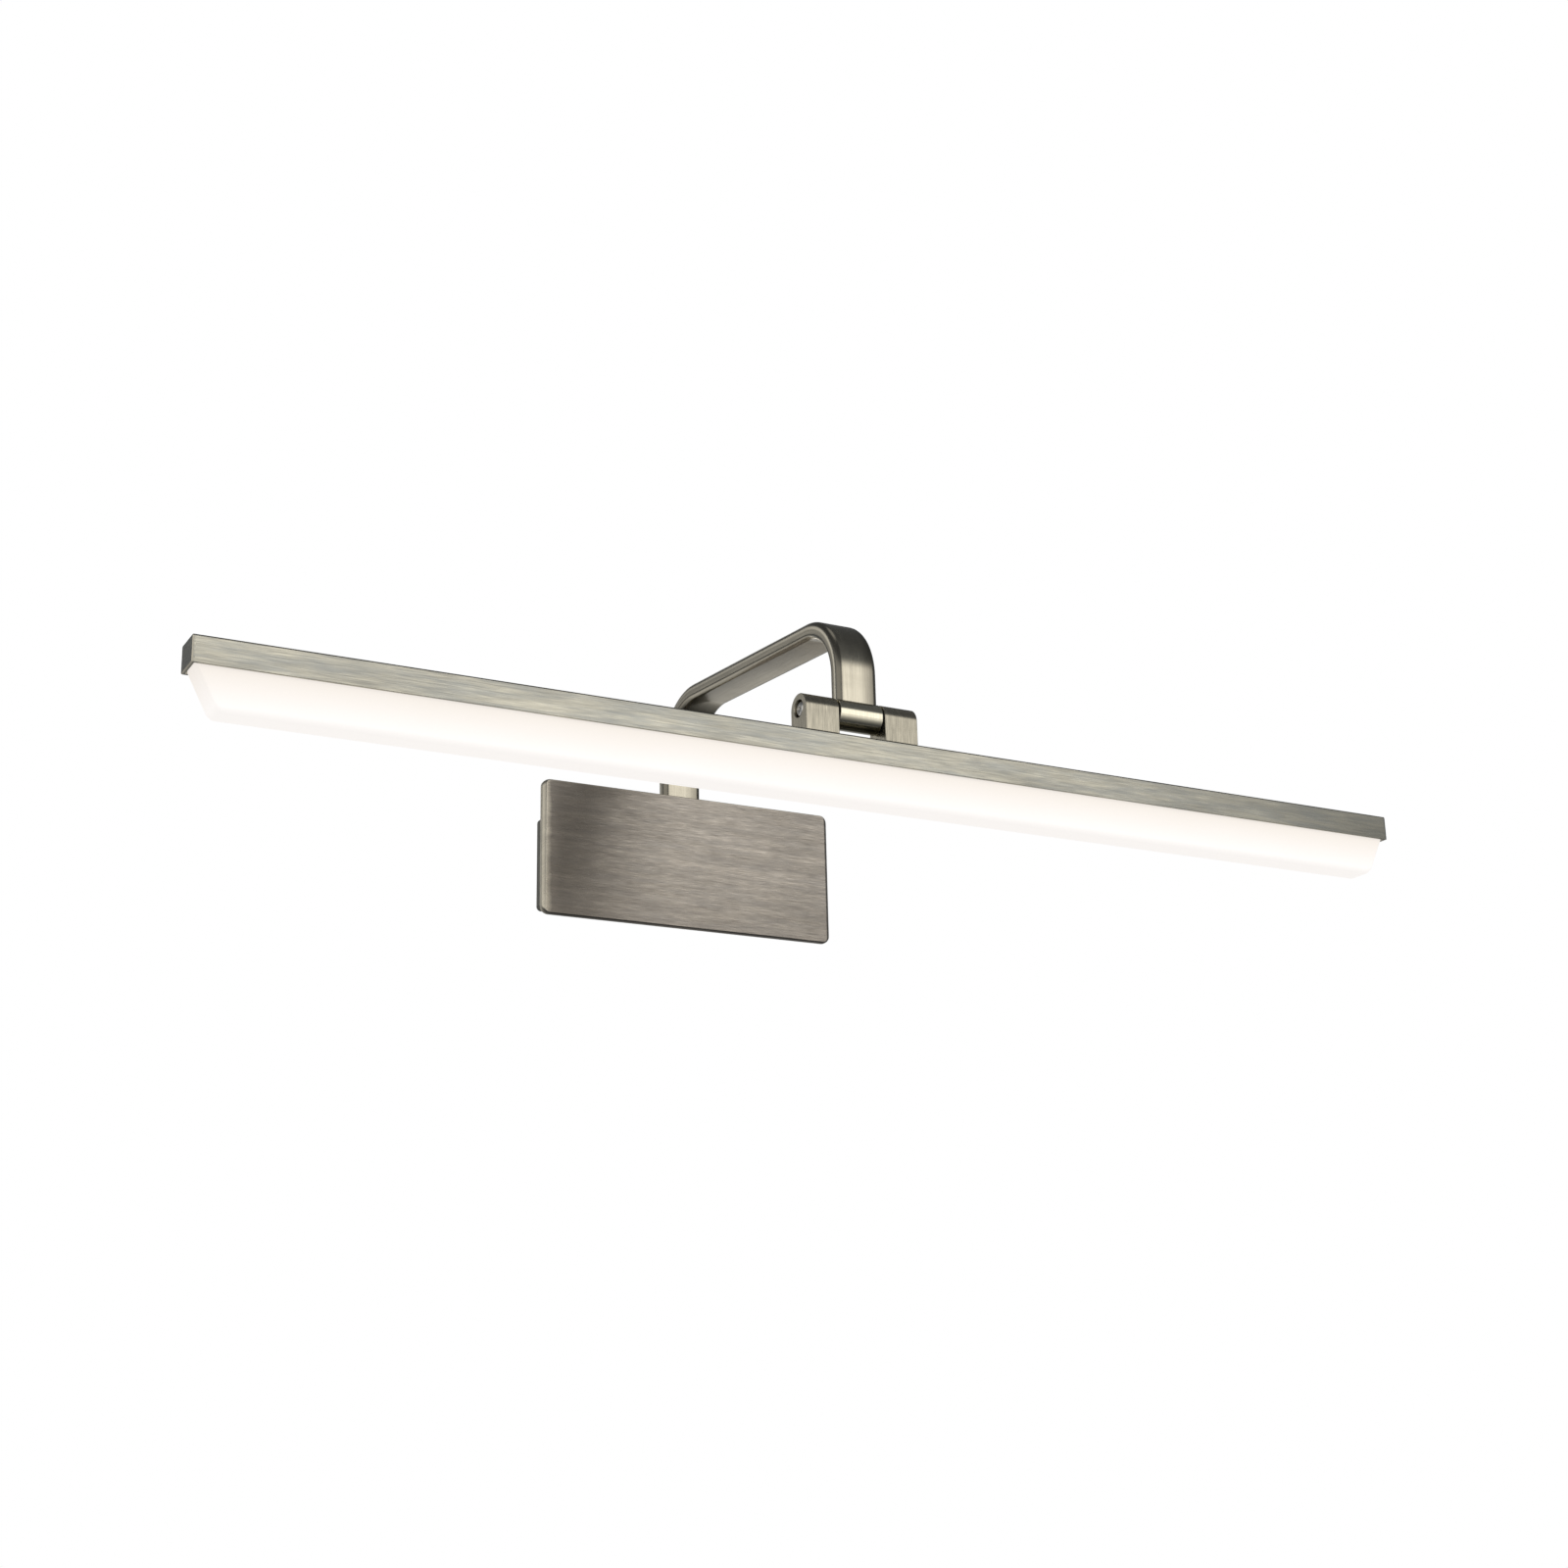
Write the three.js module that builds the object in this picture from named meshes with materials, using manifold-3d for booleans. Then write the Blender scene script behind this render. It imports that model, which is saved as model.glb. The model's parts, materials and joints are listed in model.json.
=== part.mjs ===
// A picture light: a wall box behind a cover plate, a flat bent arm that rises out of the box
// and reaches forward, and a long LED bar that tilts on a friction hinge at the arm's end.
//
// Millimetres. +X runs along the bar to the right, +Y goes into the wall and +Z is up.
// The origin lies on the wall, behind the middle of the cover plate.

import * as THREE from 'three';
import { mergeVertices } from 'three/addons/utils/BufferGeometryUtils.js';
import Module from 'manifold-3d';

const wasm = await Module();
wasm.setup();

// ---------------------------------------------------------------- driving dimensions

const GAP = 0.3;           // air between pieces that touch
const RUN = 0.15;          // radial air round a shank in its hole

// cover plate: a shallow tray of sheet metal with rounded edges
const PLATE_WIDTH = 140;
const PLATE_HEIGHT = 60;
const PLATE_FRONT = -22;
const PLATE_DEPTH = 3.2;
const PLATE_SHEET = 1.2;
const PLATE_EDGE = 2;
const PLATE_CORNER = 3.6;
const STUD_RADIUS = 1.95;
const STUD_SPOTS = [[-45, 11.5], [45, 11.5], [0, -17]];

// wall box, open towards the wall
const BOX_WIDTH = 127.4;
const BOX_TOP = 17.8;
const BOX_BOTTOM = -23.7;
const BOX_FRONT = PLATE_FRONT + PLATE_DEPTH + GAP;
const BOX_SHEET = 1.2;
const BOX_CORNER = 2;
const BOX_INNER_FRONT = BOX_FRONT + BOX_SHEET;
const BOX_MIDDLE = (BOX_TOP + BOX_BOTTOM) / 2;

// steel bracket that is screwed to the wall
const BRACKET_SHEET = 1.5;
const BRACKET_HEIGHT = 24;
const BRACKET_REACH = BOX_WIDTH / 2 - BOX_SHEET - GAP;
const EAR_DEPTH = 16;
const EAR_HEIGHT = 12;
const SLOT_SPOT = 38;
const SLOT_LENGTH = 9;
const SLOT_WIDTH = 4.5;
const INLET_SPOT = 15;
const INLET_RADIUS = 6.5;
const GROMMET_BORE = 4.5;
const EARTH_SPOT = [-6, -10];
const EARTH_BOSS_RADIUS = 3.2;
const EARTH_BOSS_HEIGHT = 3;
const COVER_SCREW_DEPTH = -12.4;

// small metric screws: shank and head sizes by name
const M2 = { shank: 0.95, head: 1.1, headHeight: 0.1 };
const M3 = { shank: 1.4, head: 2.75, headHeight: 2 };
const M4 = { shank: 1.95, head: 3.1, headHeight: 2.4 };

// hinge at the front end of the arm; its axis runs along X
const HINGE_Y = -169.8;
const HINGE_Z = 20.45;
const BARREL_RADIUS = 6.1;
const BARREL_HALF = 9.5;
const WASHER_THICKNESS = 0.5;
const CHEEK_INNER = BARREL_HALF + WASHER_THICKNESS + 2 * RUN;
const CHEEK_OUTER = 25;
const RECESS_RADIUS = 3.5;
const RECESS_DEPTH = 3.5;
const NIPPLE_RADIUS = 3;
const NIPPLE_BORE = 1.9;
const NIPPLE_END = 12.6;
const CAVITY_RADIUS = 4;
const CAVITY_HALF = 4.8;

// arm: a flat tube bent in the YZ plane
const ARM_WIDTH = 18;
const ARM_THICKNESS = 7;
const ARM_WALL = 1.2;
const ARM_EDGE = 2.4;
const POST_Y = -11.8;
const POST_FOOT = 9;
const ARM_SLOPE = THREE.MathUtils.degToRad(4.9);
const ARM_REAR_CORNER = 74.7;
const ARM_REAR_RADIUS = 29;
const ARM_FRONT_RADIUS = 25;
const FLANGE_THICKNESS = 2;
const FLANGE_HALF = 16;
const FLANGE_SCREW_X = 12.4;

// lamp head: channel, end caps and diffuser
const BAR_LENGTH = 525;
const BAR_DEPTH = 14;
const BAR_HEIGHT = 10.4;
const BAR_WALL = 1;
const BAR_ROOF = 2;
const CAP_THICKNESS = 1.2;
const DIFFUSER_DROP = 16;
const DIFFUSER_SLANT = 8;
const DIFFUSER_WALL = 1.5;
const DIFFUSER_RIM = 5;
const DIFFUSER_EDGE = 1.1;
const DIFFUSER_CORNER = 4;
const CHANNEL_END = BAR_LENGTH / 2 - CAP_THICKNESS - GAP;
const BAR_FRONT = HINGE_Y - BAR_DEPTH / 2;

// light source and the lead to it
const LED_PITCH = 10;
const LED_COUNT = 51;
const LED_SIZE = 2.8;
const LED_HEIGHT = 0.7;
const BOARD_HALF = 255;
const BOARD_WIDTH = 10.4;
const BOARD_THICKNESS = 1;
const TAPE_THICKNESS = 0.5;
const LEAD_RADIUS = 1.2;
const DUCT_X = 15;
const DUCT_RADIUS = 2.1;
const CHEEK_SCREW_LEFT = -16.4;
const CHEEK_SCREW_RIGHT = 20.6;

// driver and terminal block inside the wall box
const DRIVER_LEFT = -53;
const DRIVER_RIGHT = -15;
const DRIVER_BOTTOM = -20;
const DRIVER_TOP = 6;
const DRIVER_FLOOR = BOX_INNER_FRONT + GAP;
const DRIVER_DEPTH = 9;
const DRIVER_WALL = 1.2;
const TERMINAL_LEFT = 24;
const TERMINAL_WIDTH = 22;
const TERMINAL_BOTTOM = -12;
const TERMINAL_HEIGHT = 16;
const TERMINAL_DEPTH = 9.3;
const POLE_SPOTS = [30, 40];
const POLE_SCREW_SPOTS = [-8, 0];
const WIRE_Y = -12.5;
const WIRE_RADIUS = 1;

// ---------------------------------------------------------------- placing and cutting

const RIGHT = new THREE.Vector3(1, 0, 0);
const BACK = new THREE.Vector3(0, 1, 0);
const UP = new THREE.Vector3(0, 0, 1);

// Shapes are drawn in a local XY plane and made solid along local Z. Each of these turns
// local Z to a direction of the lamp: to the right, outward from the wall, or up.
const TO = {
  right: new THREE.Matrix4().makeBasis(BACK, UP, RIGHT),
  outward: new THREE.Matrix4().makeBasis(RIGHT, UP, BACK.clone().negate()),
  up: new THREE.Matrix4(),
};

function lay(geometry, direction, x, y, z) {
  return geometry.applyMatrix4(TO[direction]).translate(x, y, z);
}

function asSolid(geometry) {
  const bare = geometry.clone();
  bare.deleteAttribute('normal');
  bare.deleteAttribute('uv');
  const merged = mergeVertices(bare, 1e-4);
  return new wasm.Manifold(new wasm.Mesh({
    numProp: 3,
    vertProperties: new Float32Array(merged.attributes.position.array),
    triVerts: new Uint32Array(merged.index.array),
  }));
}

function asGeometry(manifold) {
  const mesh = manifold.getMesh();
  const geometry = new THREE.BufferGeometry();
  geometry.setAttribute('position', new THREE.BufferAttribute(mesh.vertProperties, 3));
  geometry.setIndex(new THREE.BufferAttribute(mesh.triVerts, 1));
  return geometry;
}

function fuse(body, ...others) {
  return asGeometry(others.reduce((sum, other) => sum.add(asSolid(other)), asSolid(body)));
}

function carve(body, ...cutters) {
  return asGeometry(cutters.reduce((rest, cutter) => rest.subtract(asSolid(cutter)), asSolid(body)));
}

// ---------------------------------------------------------------- basic forms

function block(x0, x1, y0, y1, z0, z1) {
  const box = new THREE.BoxGeometry(x1 - x0, y1 - y0, z1 - z0);
  return box.translate((x0 + x1) / 2, (y0 + y1) / 2, (z0 + z1) / 2);
}

// A closed outline through corners [x, y, radius], walked anticlockwise.
function outline(corners) {
  const shape = new THREE.Shape();
  corners.forEach(([x, y, radius], index) => {
    const here = new THREE.Vector2(x, y);
    const [beforeX, beforeY] = corners.at(index - 1);
    const [afterX, afterY] = corners[(index + 1) % corners.length];
    const before = new THREE.Vector2(beforeX, beforeY).sub(here).normalize();
    const after = new THREE.Vector2(afterX, afterY).sub(here).normalize();
    if (!radius) {
      if (index) shape.lineTo(x, y);
      else shape.moveTo(x, y);
      return;
    }
    const half = Math.acos(before.dot(after)) / 2;
    const setback = radius / Math.tan(half);
    const start = here.clone().addScaledVector(before, setback);
    const end = here.clone().addScaledVector(after, setback);
    const middle = before.clone().add(after).setLength(radius / Math.sin(half)).add(here);
    const inward = before.cross(after) > 0;
    if (index) shape.lineTo(start.x, start.y);
    else shape.moveTo(start.x, start.y);
    shape.absarc(middle.x, middle.y, radius, start.sub(middle).angle(), end.sub(middle).angle(), inward);
  });
  shape.closePath();
  return shape;
}

function roundedBox(width, height, radius) {
  const x = width / 2;
  const y = height / 2;
  return outline([[-x, -y, radius], [x, -y, radius], [x, y, radius], [-x, y, radius]]);
}

function prism(shape, length, curveSegments = 2) {
  return new THREE.ExtrudeGeometry(shape, { depth: length, bevelEnabled: false, curveSegments });
}

function rod(radius, length, sides = 16) {
  const cylinder = new THREE.CylinderGeometry(radius, radius, length, sides);
  return cylinder.rotateX(Math.PI / 2).translate(0, 0, length / 2);
}

// A turned piece from its half section [radius, height], walked anticlockwise.
function turned(halfSection, sides = 16) {
  const points = halfSection.map(([radius, height]) => new THREE.Vector2(radius, height));
  return new THREE.LatheGeometry(points, sides).rotateX(Math.PI / 2);
}

function ring(outer, inner, thickness, sides = 16) {
  return turned([
    [inner, 0], [outer, 0], [outer, thickness], [inner, thickness], [inner, 0],
  ], sides);
}

// A route of straight runs joined by round bends. A run is one step long and a bend
// has a step for every few degrees, so a sweep along it is only fine where it bends.
class Route extends THREE.Curve {
  constructor(corners, bendSteps) {
    super();
    this.stretches = [];
    let start = corners[0].clone();
    for (let i = 1; i < corners.length - 1; i += 1) {
      start = this.addBend(start, corners[i], corners[i + 1], bendSteps);
    }
    this.addRun(start, corners.at(-1));
    this.steps = this.stretches.reduce((sum, stretch) => sum + stretch.steps, 0);
  }

  addRun(from, to) {
    this.stretches.push({ steps: 1, at: (t) => from.clone().lerp(to, t) });
  }

  addBend(start, corner, next, steps) {
    const arriving = corner.clone().sub(start).normalize();
    const leaving = new THREE.Vector3().subVectors(next, corner).normalize();
    const turn = arriving.angleTo(leaving);
    const setback = corner.bend * Math.tan(turn / 2);
    const entry = corner.clone().addScaledVector(arriving, -setback);
    const exit = corner.clone().addScaledVector(leaving, setback);
    const inward = leaving.clone().addScaledVector(arriving, -leaving.dot(arriving)).normalize();
    const centre = entry.clone().addScaledVector(inward, corner.bend);
    this.addRun(start, entry);
    this.stretches.push({
      steps,
      at: (t) => centre.clone()
        .addScaledVector(inward, -corner.bend * Math.cos(turn * t))
        .addScaledVector(arriving, corner.bend * Math.sin(turn * t)),
    });
    return exit;
  }

  getPoint(t) {
    let step = t * this.steps;
    for (const stretch of this.stretches) {
      if (step <= stretch.steps + 1e-9) return stretch.at(step / stretch.steps);
      step -= stretch.steps;
    }
    return this.stretches.at(-1).at(1);
  }

  getPointAt(u) {
    return this.getPoint(u);
  }

  getTangentAt(u) {
    return this.getTangent(u);
  }
}

function corner(x, y, z, bend = 0) {
  const point = new THREE.Vector3(x, y, z);
  point.bend = bend;
  return point;
}

function sweep(shape, route, curveSegments) {
  return new THREE.ExtrudeGeometry(shape, { steps: route.steps, extrudePath: route, curveSegments });
}

function roundLead(radius, corners) {
  const section = new THREE.Shape().absarc(0, 0, radius, 0, 2 * Math.PI, false);
  return sweep(section, new Route(corners, 5), 4);
}

// ---------------------------------------------------------------- fasteners

// A pan-head screw with a cross recess. Its head stands on local Z = 0 and its shank
// points along +Z.
function crossScrew(size, length) {
  const { shank, head, headHeight } = size;
  const chamfer = headHeight * 0.3;
  const body = turned([
    [0, -headHeight], [head - chamfer, -headHeight], [head, -headHeight + chamfer], [head, 0],
    [shank, 0], [shank, length - shank / 2], [shank / 2, length], [0, length],
  ], 12);
  const arm = head * 0.55;
  const slot = head * 0.14;
  const depth = headHeight * 0.55;
  return carve(
    body,
    block(-arm, arm, -slot, slot, -headHeight - 1, -headHeight + depth),
    block(-slot, slot, -arm, arm, -headHeight - 1, -headHeight + depth),
  );
}

function countersunkScrew(length) {
  const { shank, head } = M3;
  const rise = head - shank;
  return turned([[0, 0], [head, 0], [shank, rise], [shank, length], [0, length]]);
}

function hexNut(bore, acrossFlats, thickness) {
  const shape = new THREE.Shape();
  for (let i = 0; i < 6; i += 1) {
    const angle = (i * Math.PI) / 3;
    const radius = acrossFlats / Math.sqrt(3);
    const point = [radius * Math.cos(angle), radius * Math.sin(angle)];
    if (i) shape.lineTo(...point);
    else shape.moveTo(...point);
  }
  shape.closePath();
  shape.holes.push(new THREE.Path().absarc(0, 0, bore, 0, 2 * Math.PI, true));
  return prism(shape, thickness, 8);
}

// ---------------------------------------------------------------- wall box and its cover

function wallBracket() {
  const bottom = BOX_MIDDLE - BRACKET_HEIGHT / 2;
  const top = BOX_MIDDLE + BRACKET_HEIGHT / 2;
  const ears = [-1, 1].map((side) => {
    const inner = side * (BRACKET_REACH - BRACKET_SHEET);
    const outer = side * BRACKET_REACH;
    const low = BOX_MIDDLE - EAR_HEIGHT / 2;
    return block(Math.min(inner, outer), Math.max(inner, outer), -EAR_DEPTH, 0, low, low + EAR_HEIGHT);
  });
  const [earthX, earthZ] = EARTH_SPOT;
  const boss = rod(EARTH_BOSS_RADIUS, BRACKET_SHEET + EARTH_BOSS_HEIGHT);
  const plate = fuse(
    block(-BRACKET_REACH, BRACKET_REACH, -BRACKET_SHEET, 0, bottom, top),
    ...ears,
    lay(boss, 'outward', earthX, 0, earthZ),
  );
  const slots = [-1, 1].map((side) => {
    const slot = prism(roundedBox(SLOT_LENGTH, SLOT_WIDTH, SLOT_WIDTH / 2 - 0.01), 4, 4);
    return lay(slot, 'outward', side * SLOT_SPOT, 1, BOX_MIDDLE);
  });
  return carve(
    plate,
    ...slots,
    lay(rod(INLET_RADIUS, 4), 'outward', INLET_SPOT, 1, BOX_MIDDLE),
    lay(rod(M3.shank + RUN, 8), 'outward', earthX, 1, earthZ),
    lay(rod(M3.shank + RUN, BOX_WIDTH), 'right', -BOX_WIDTH / 2, COVER_SCREW_DEPTH, BOX_MIDDLE),
  );
}

function cableGrommet() {
  const sleeve = INLET_RADIUS - GAP;
  const flange = INLET_RADIUS + 1.6;
  const rear = 0.2;
  const seat = BRACKET_SHEET + GAP;
  const lip = seat + 1.4;
  return lay(turned([
    [GROMMET_BORE, rear], [sleeve, rear], [sleeve, seat], [flange, seat],
    [flange, lip - 0.5], [flange - 0.5, lip], [GROMMET_BORE, lip], [GROMMET_BORE, rear],
  ]), 'outward', INLET_SPOT, 0, BOX_MIDDLE);
}

function baseHousing() {
  const height = BOX_TOP - BOX_BOTTOM;
  const outer = prism(roundedBox(BOX_WIDTH, height, BOX_CORNER), -BOX_FRONT);
  const hollow = prism(
    roundedBox(BOX_WIDTH - 2 * BOX_SHEET, height - 2 * BOX_SHEET, BOX_CORNER - BOX_SHEET),
    1 - BOX_INNER_FRONT,
  );
  const postHole = prism(
    roundedBox(ARM_WIDTH + 2 * GAP, ARM_THICKNESS + 2 * GAP, ARM_EDGE + GAP),
    3 * BOX_SHEET,
  );
  const studHoles = STUD_SPOTS.map(([x, z]) => (
    lay(rod(STUD_RADIUS + GAP, 4), 'outward', x, BOX_INNER_FRONT + 1, z)
  ));
  const flangeHoles = [-1, 1].map((side) => (
    lay(rod(M3.shank + RUN, 4), 'up', side * FLANGE_SCREW_X, POST_Y + 3, BOX_TOP - 3)
  ));
  const fixingX = TERMINAL_LEFT + TERMINAL_WIDTH / 2;
  return carve(
    lay(outer, 'outward', 0, 0, BOX_MIDDLE),
    lay(hollow, 'outward', 0, 1, BOX_MIDDLE),
    lay(postHole, 'up', 0, POST_Y, BOX_TOP - 2 * BOX_SHEET),
    ...studHoles,
    ...flangeHoles,
    lay(rod(M3.shank + RUN, 4), 'outward', fixingX, BOX_INNER_FRONT + 1, TERMINAL_BOTTOM + 8),
    lay(rod(M3.shank + GAP, BOX_WIDTH + 4), 'right', -BOX_WIDTH / 2 - 2, COVER_SCREW_DEPTH, BOX_MIDDLE),
  );
}

function frontPanel() {
  const blank = new THREE.ExtrudeGeometry(
    roundedBox(PLATE_WIDTH - 2 * PLATE_EDGE, PLATE_HEIGHT - 2 * PLATE_EDGE, PLATE_CORNER - PLATE_EDGE),
    { depth: 4, bevelThickness: PLATE_EDGE, bevelSize: PLATE_EDGE, bevelSegments: 4, curveSegments: 2 },
  );
  const back = PLATE_FRONT + PLATE_DEPTH;
  const width = PLATE_WIDTH - 2 * PLATE_SHEET;
  const height = PLATE_HEIGHT - 2 * PLATE_SHEET;
  const hollow = prism(roundedBox(width, height, PLATE_CORNER - PLATE_SHEET), 6);
  const tray = carve(
    lay(blank, 'outward', 0, PLATE_FRONT + 4 + PLATE_EDGE, 0),
    block(-PLATE_WIDTH, PLATE_WIDTH, back, 0, -PLATE_HEIGHT, PLATE_HEIGHT),
    lay(hollow, 'outward', 0, PLATE_FRONT + PLATE_SHEET + 6, 0),
  );
  const root = PLATE_FRONT + PLATE_SHEET / 2;
  const tip = BOX_INNER_FRONT + 3;
  const studs = STUD_SPOTS.map(([x, z]) => lay(rod(STUD_RADIUS, tip - root), 'outward', x, tip, z));
  return fuse(tray, ...studs);
}

// ---------------------------------------------------------------- driver and terminal block

function driverCase() {
  const rear = DRIVER_FLOOR + DRIVER_DEPTH;
  const body = block(DRIVER_LEFT, DRIVER_RIGHT, DRIVER_FLOOR, rear, DRIVER_BOTTOM, DRIVER_TOP);
  const hollow = block(
    DRIVER_LEFT + DRIVER_WALL, DRIVER_RIGHT - DRIVER_WALL, DRIVER_FLOOR + DRIVER_WALL, rear + 1,
    DRIVER_BOTTOM + DRIVER_WALL, DRIVER_TOP - DRIVER_WALL,
  );
  const exits = [[POST_Y, 1, LEAD_RADIUS], [WIRE_Y, -8, WIRE_RADIUS], [WIRE_Y, -12, WIRE_RADIUS]];
  const holes = exits.map(([y, z, radius]) => (
    lay(rod(radius + GAP, 6), 'right', DRIVER_RIGHT - 3, y, z)
  ));
  return carve(body, hollow, ...holes);
}

function driverLid() {
  const seat = DRIVER_FLOOR + DRIVER_DEPTH + GAP;
  const inset = DRIVER_WALL + GAP;
  return fuse(
    block(DRIVER_LEFT, DRIVER_RIGHT, seat, seat + 1, DRIVER_BOTTOM, DRIVER_TOP),
    block(
      DRIVER_LEFT + inset, DRIVER_RIGHT - inset, seat - 1, seat + 0.5,
      DRIVER_BOTTOM + inset, DRIVER_TOP - inset,
    ),
  );
}

const BOARD_FACE = DRIVER_FLOOR + DRIVER_WALL + 1.5;

function driverBoard() {
  const inset = DRIVER_WALL + GAP;
  return block(
    DRIVER_LEFT + inset, DRIVER_RIGHT - inset, BOARD_FACE - 1, BOARD_FACE,
    DRIVER_BOTTOM + inset, DRIVER_TOP - inset,
  );
}

function driverTransformer() {
  const seat = BOARD_FACE + GAP;
  return fuse(
    block(-40, -28, seat, seat + 4, -14, -2),
    block(-38.5, -29.5, seat + 0.5, seat + 3.5, -16.5, 0.5),
  );
}

function driverCapacitor() {
  const seat = BOARD_FACE + GAP;
  return lay(rod(2, 9), 'right', -51, seat + 2, -15);
}

function terminalBlock() {
  const floor = BOX_INNER_FRONT + GAP;
  const rear = floor + TERMINAL_DEPTH;
  const top = TERMINAL_BOTTOM + TERMINAL_HEIGHT;
  const body = block(TERMINAL_LEFT, TERMINAL_LEFT + TERMINAL_WIDTH, floor, rear, TERMINAL_BOTTOM, top);
  const middle = TERMINAL_LEFT + TERMINAL_WIDTH / 2;
  const wireBores = POLE_SPOTS.map((x) => (
    lay(rod(2.3, TERMINAL_HEIGHT + 2), 'up', x, WIRE_Y, TERMINAL_BOTTOM - 1)
  ));
  const screwBores = POLE_SPOTS.flatMap((x) => POLE_SCREW_SPOTS.map((z) => (
    lay(rod(1.5, 6, 12), 'outward', x, rear + 1, z)
  )));
  const fixing = lay(rod(M3.shank + RUN, 12), 'outward', middle, rear + 1, TERMINAL_BOTTOM + 8);
  const fixingSeat = lay(rod(M3.head + GAP, 4), 'outward', middle, rear + 1, TERMINAL_BOTTOM + 8);
  return carve(body, ...wireBores, ...screwBores, fixing, fixingSeat);
}

function terminalInsert() {
  const length = TERMINAL_HEIGHT - 2;
  const tube = ring(2, 1.3, length, 12);
  const threads = POLE_SCREW_SPOTS.map((z) => (
    lay(rod(M2.shank + RUN, 4, 12), 'outward', 0, 4, z - TERMINAL_BOTTOM - 1)
  ));
  return carve(tube, ...threads);
}

function liveWire() {
  return roundLead(WIRE_RADIUS, [
    corner(DRIVER_RIGHT - 3, WIRE_Y, -8), corner(-9, WIRE_Y, -8, 3), corner(2, WIRE_Y, -17.5, 3),
    corner(POLE_SPOTS[0], WIRE_Y, -17.5, 3), corner(POLE_SPOTS[0], WIRE_Y, -9.5),
  ]);
}

function neutralWire() {
  return roundLead(WIRE_RADIUS, [
    corner(DRIVER_RIGHT - 3, WIRE_Y, -12), corner(-11, WIRE_Y, -12, 3), corner(-2, WIRE_Y, -20.5, 3),
    corner(POLE_SPOTS[1], WIRE_Y, -20.5, 3), corner(POLE_SPOTS[1], WIRE_Y, -9.5),
  ]);
}

// ---------------------------------------------------------------- arm

// The two corners of the arm's centre line, before they are rounded.
const ARM_FRONT_CORNER = ARM_REAR_CORNER - (POST_Y - HINGE_Y) * Math.tan(ARM_SLOPE);
const REAR_BEND = corner(0, POST_Y, ARM_REAR_CORNER, ARM_REAR_RADIUS);
const FRONT_BEND = corner(0, HINGE_Y, ARM_FRONT_CORNER, ARM_FRONT_RADIUS);

function arm() {
  const section = roundedBox(ARM_THICKNESS, ARM_WIDTH, ARM_EDGE);
  section.holes.push(roundedBox(
    ARM_THICKNESS - 2 * ARM_WALL, ARM_WIDTH - 2 * ARM_WALL, ARM_EDGE - ARM_WALL / 2,
  ));
  const route = new Route([
    corner(0, POST_Y, POST_FOOT), REAR_BEND, FRONT_BEND, corner(0, HINGE_Y, HINGE_Z + 2),
  ], 12);
  const saddle = lay(rod(BARREL_RADIUS + GAP, ARM_WIDTH + 2, 48), 'right', -ARM_WIDTH / 2 - 1, HINGE_Y, HINGE_Z);
  return carve(sweep(section, route, 2), saddle);
}

function armFlange() {
  const front = BOX_INNER_FRONT + GAP;
  const rear = POST_Y + 7;
  const top = BOX_TOP - BOX_SHEET - GAP;
  const hole = prism(
    roundedBox(ARM_WIDTH + 2 * GAP, ARM_THICKNESS + 2 * GAP, ARM_EDGE + GAP),
    FLANGE_THICKNESS + 2,
  );
  const screwHoles = [-1, 1].map((side) => (
    lay(rod(M3.shank + RUN, FLANGE_THICKNESS + 2), 'up', side * FLANGE_SCREW_X, POST_Y + 3, top - 3)
  ));
  return carve(
    block(-FLANGE_HALF, FLANGE_HALF, front, rear, top - FLANGE_THICKNESS, top),
    lay(hole, 'up', 0, POST_Y, top - 3),
    ...screwHoles,
  );
}

// The lead from the driver runs up inside the arm, down to the hinge and out along its axis.
function armLead() {
  return roundLead(LEAD_RADIUS, [
    corner(DRIVER_RIGHT - 3, POST_Y, 1), corner(0, POST_Y, 1, 4), REAR_BEND, FRONT_BEND,
    corner(0, HINGE_Y, HINGE_Z, 2.6), corner(NIPPLE_END, HINGE_Y, HINGE_Z),
  ]);
}

// ---------------------------------------------------------------- hinge

function hingeBarrel() {
  const nippleBore = NIPPLE_RADIUS + RUN;
  const threadBore = M4.shank + RUN;
  const body = lay(turned([
    [threadBore, -BARREL_HALF], [BARREL_RADIUS, -BARREL_HALF],
    [BARREL_RADIUS, BARREL_HALF], [nippleBore, BARREL_HALF], [nippleBore, CAVITY_HALF],
    [CAVITY_RADIUS, CAVITY_HALF], [CAVITY_RADIUS, -CAVITY_HALF], [threadBore, -CAVITY_HALF],
    [threadBore, -BARREL_HALF],
  ], 48), 'right', 0, HINGE_Y, HINGE_Z);
  const leadHole = lay(rod(DUCT_RADIUS, BARREL_RADIUS + 1), 'up', 0, HINGE_Y, HINGE_Z);
  return carve(body, leadHole);
}

function hingeNipple() {
  const start = CAVITY_HALF + 0.2;
  return lay(ring(NIPPLE_RADIUS, NIPPLE_BORE, NIPPLE_END - start), 'right', start, HINGE_Y, HINGE_Z);
}

function cheekBlank(from, to) {
  const bottom = BAR_HEIGHT + GAP - HINGE_Z;
  const half = BARREL_RADIUS;
  const profile = outline([
    [-half, bottom, 0.3], [half, bottom, 0.3], [half, half, half - 0.01], [-half, half, half - 0.01],
  ]);
  return lay(prism(profile, to - from, 8), 'right', from, HINGE_Y, HINGE_Z);
}

function cheekScrewHole(x) {
  return lay(rod(M3.shank + RUN, 7.5, 16), 'up', x, HINGE_Y, BAR_HEIGHT - 1);
}

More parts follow.
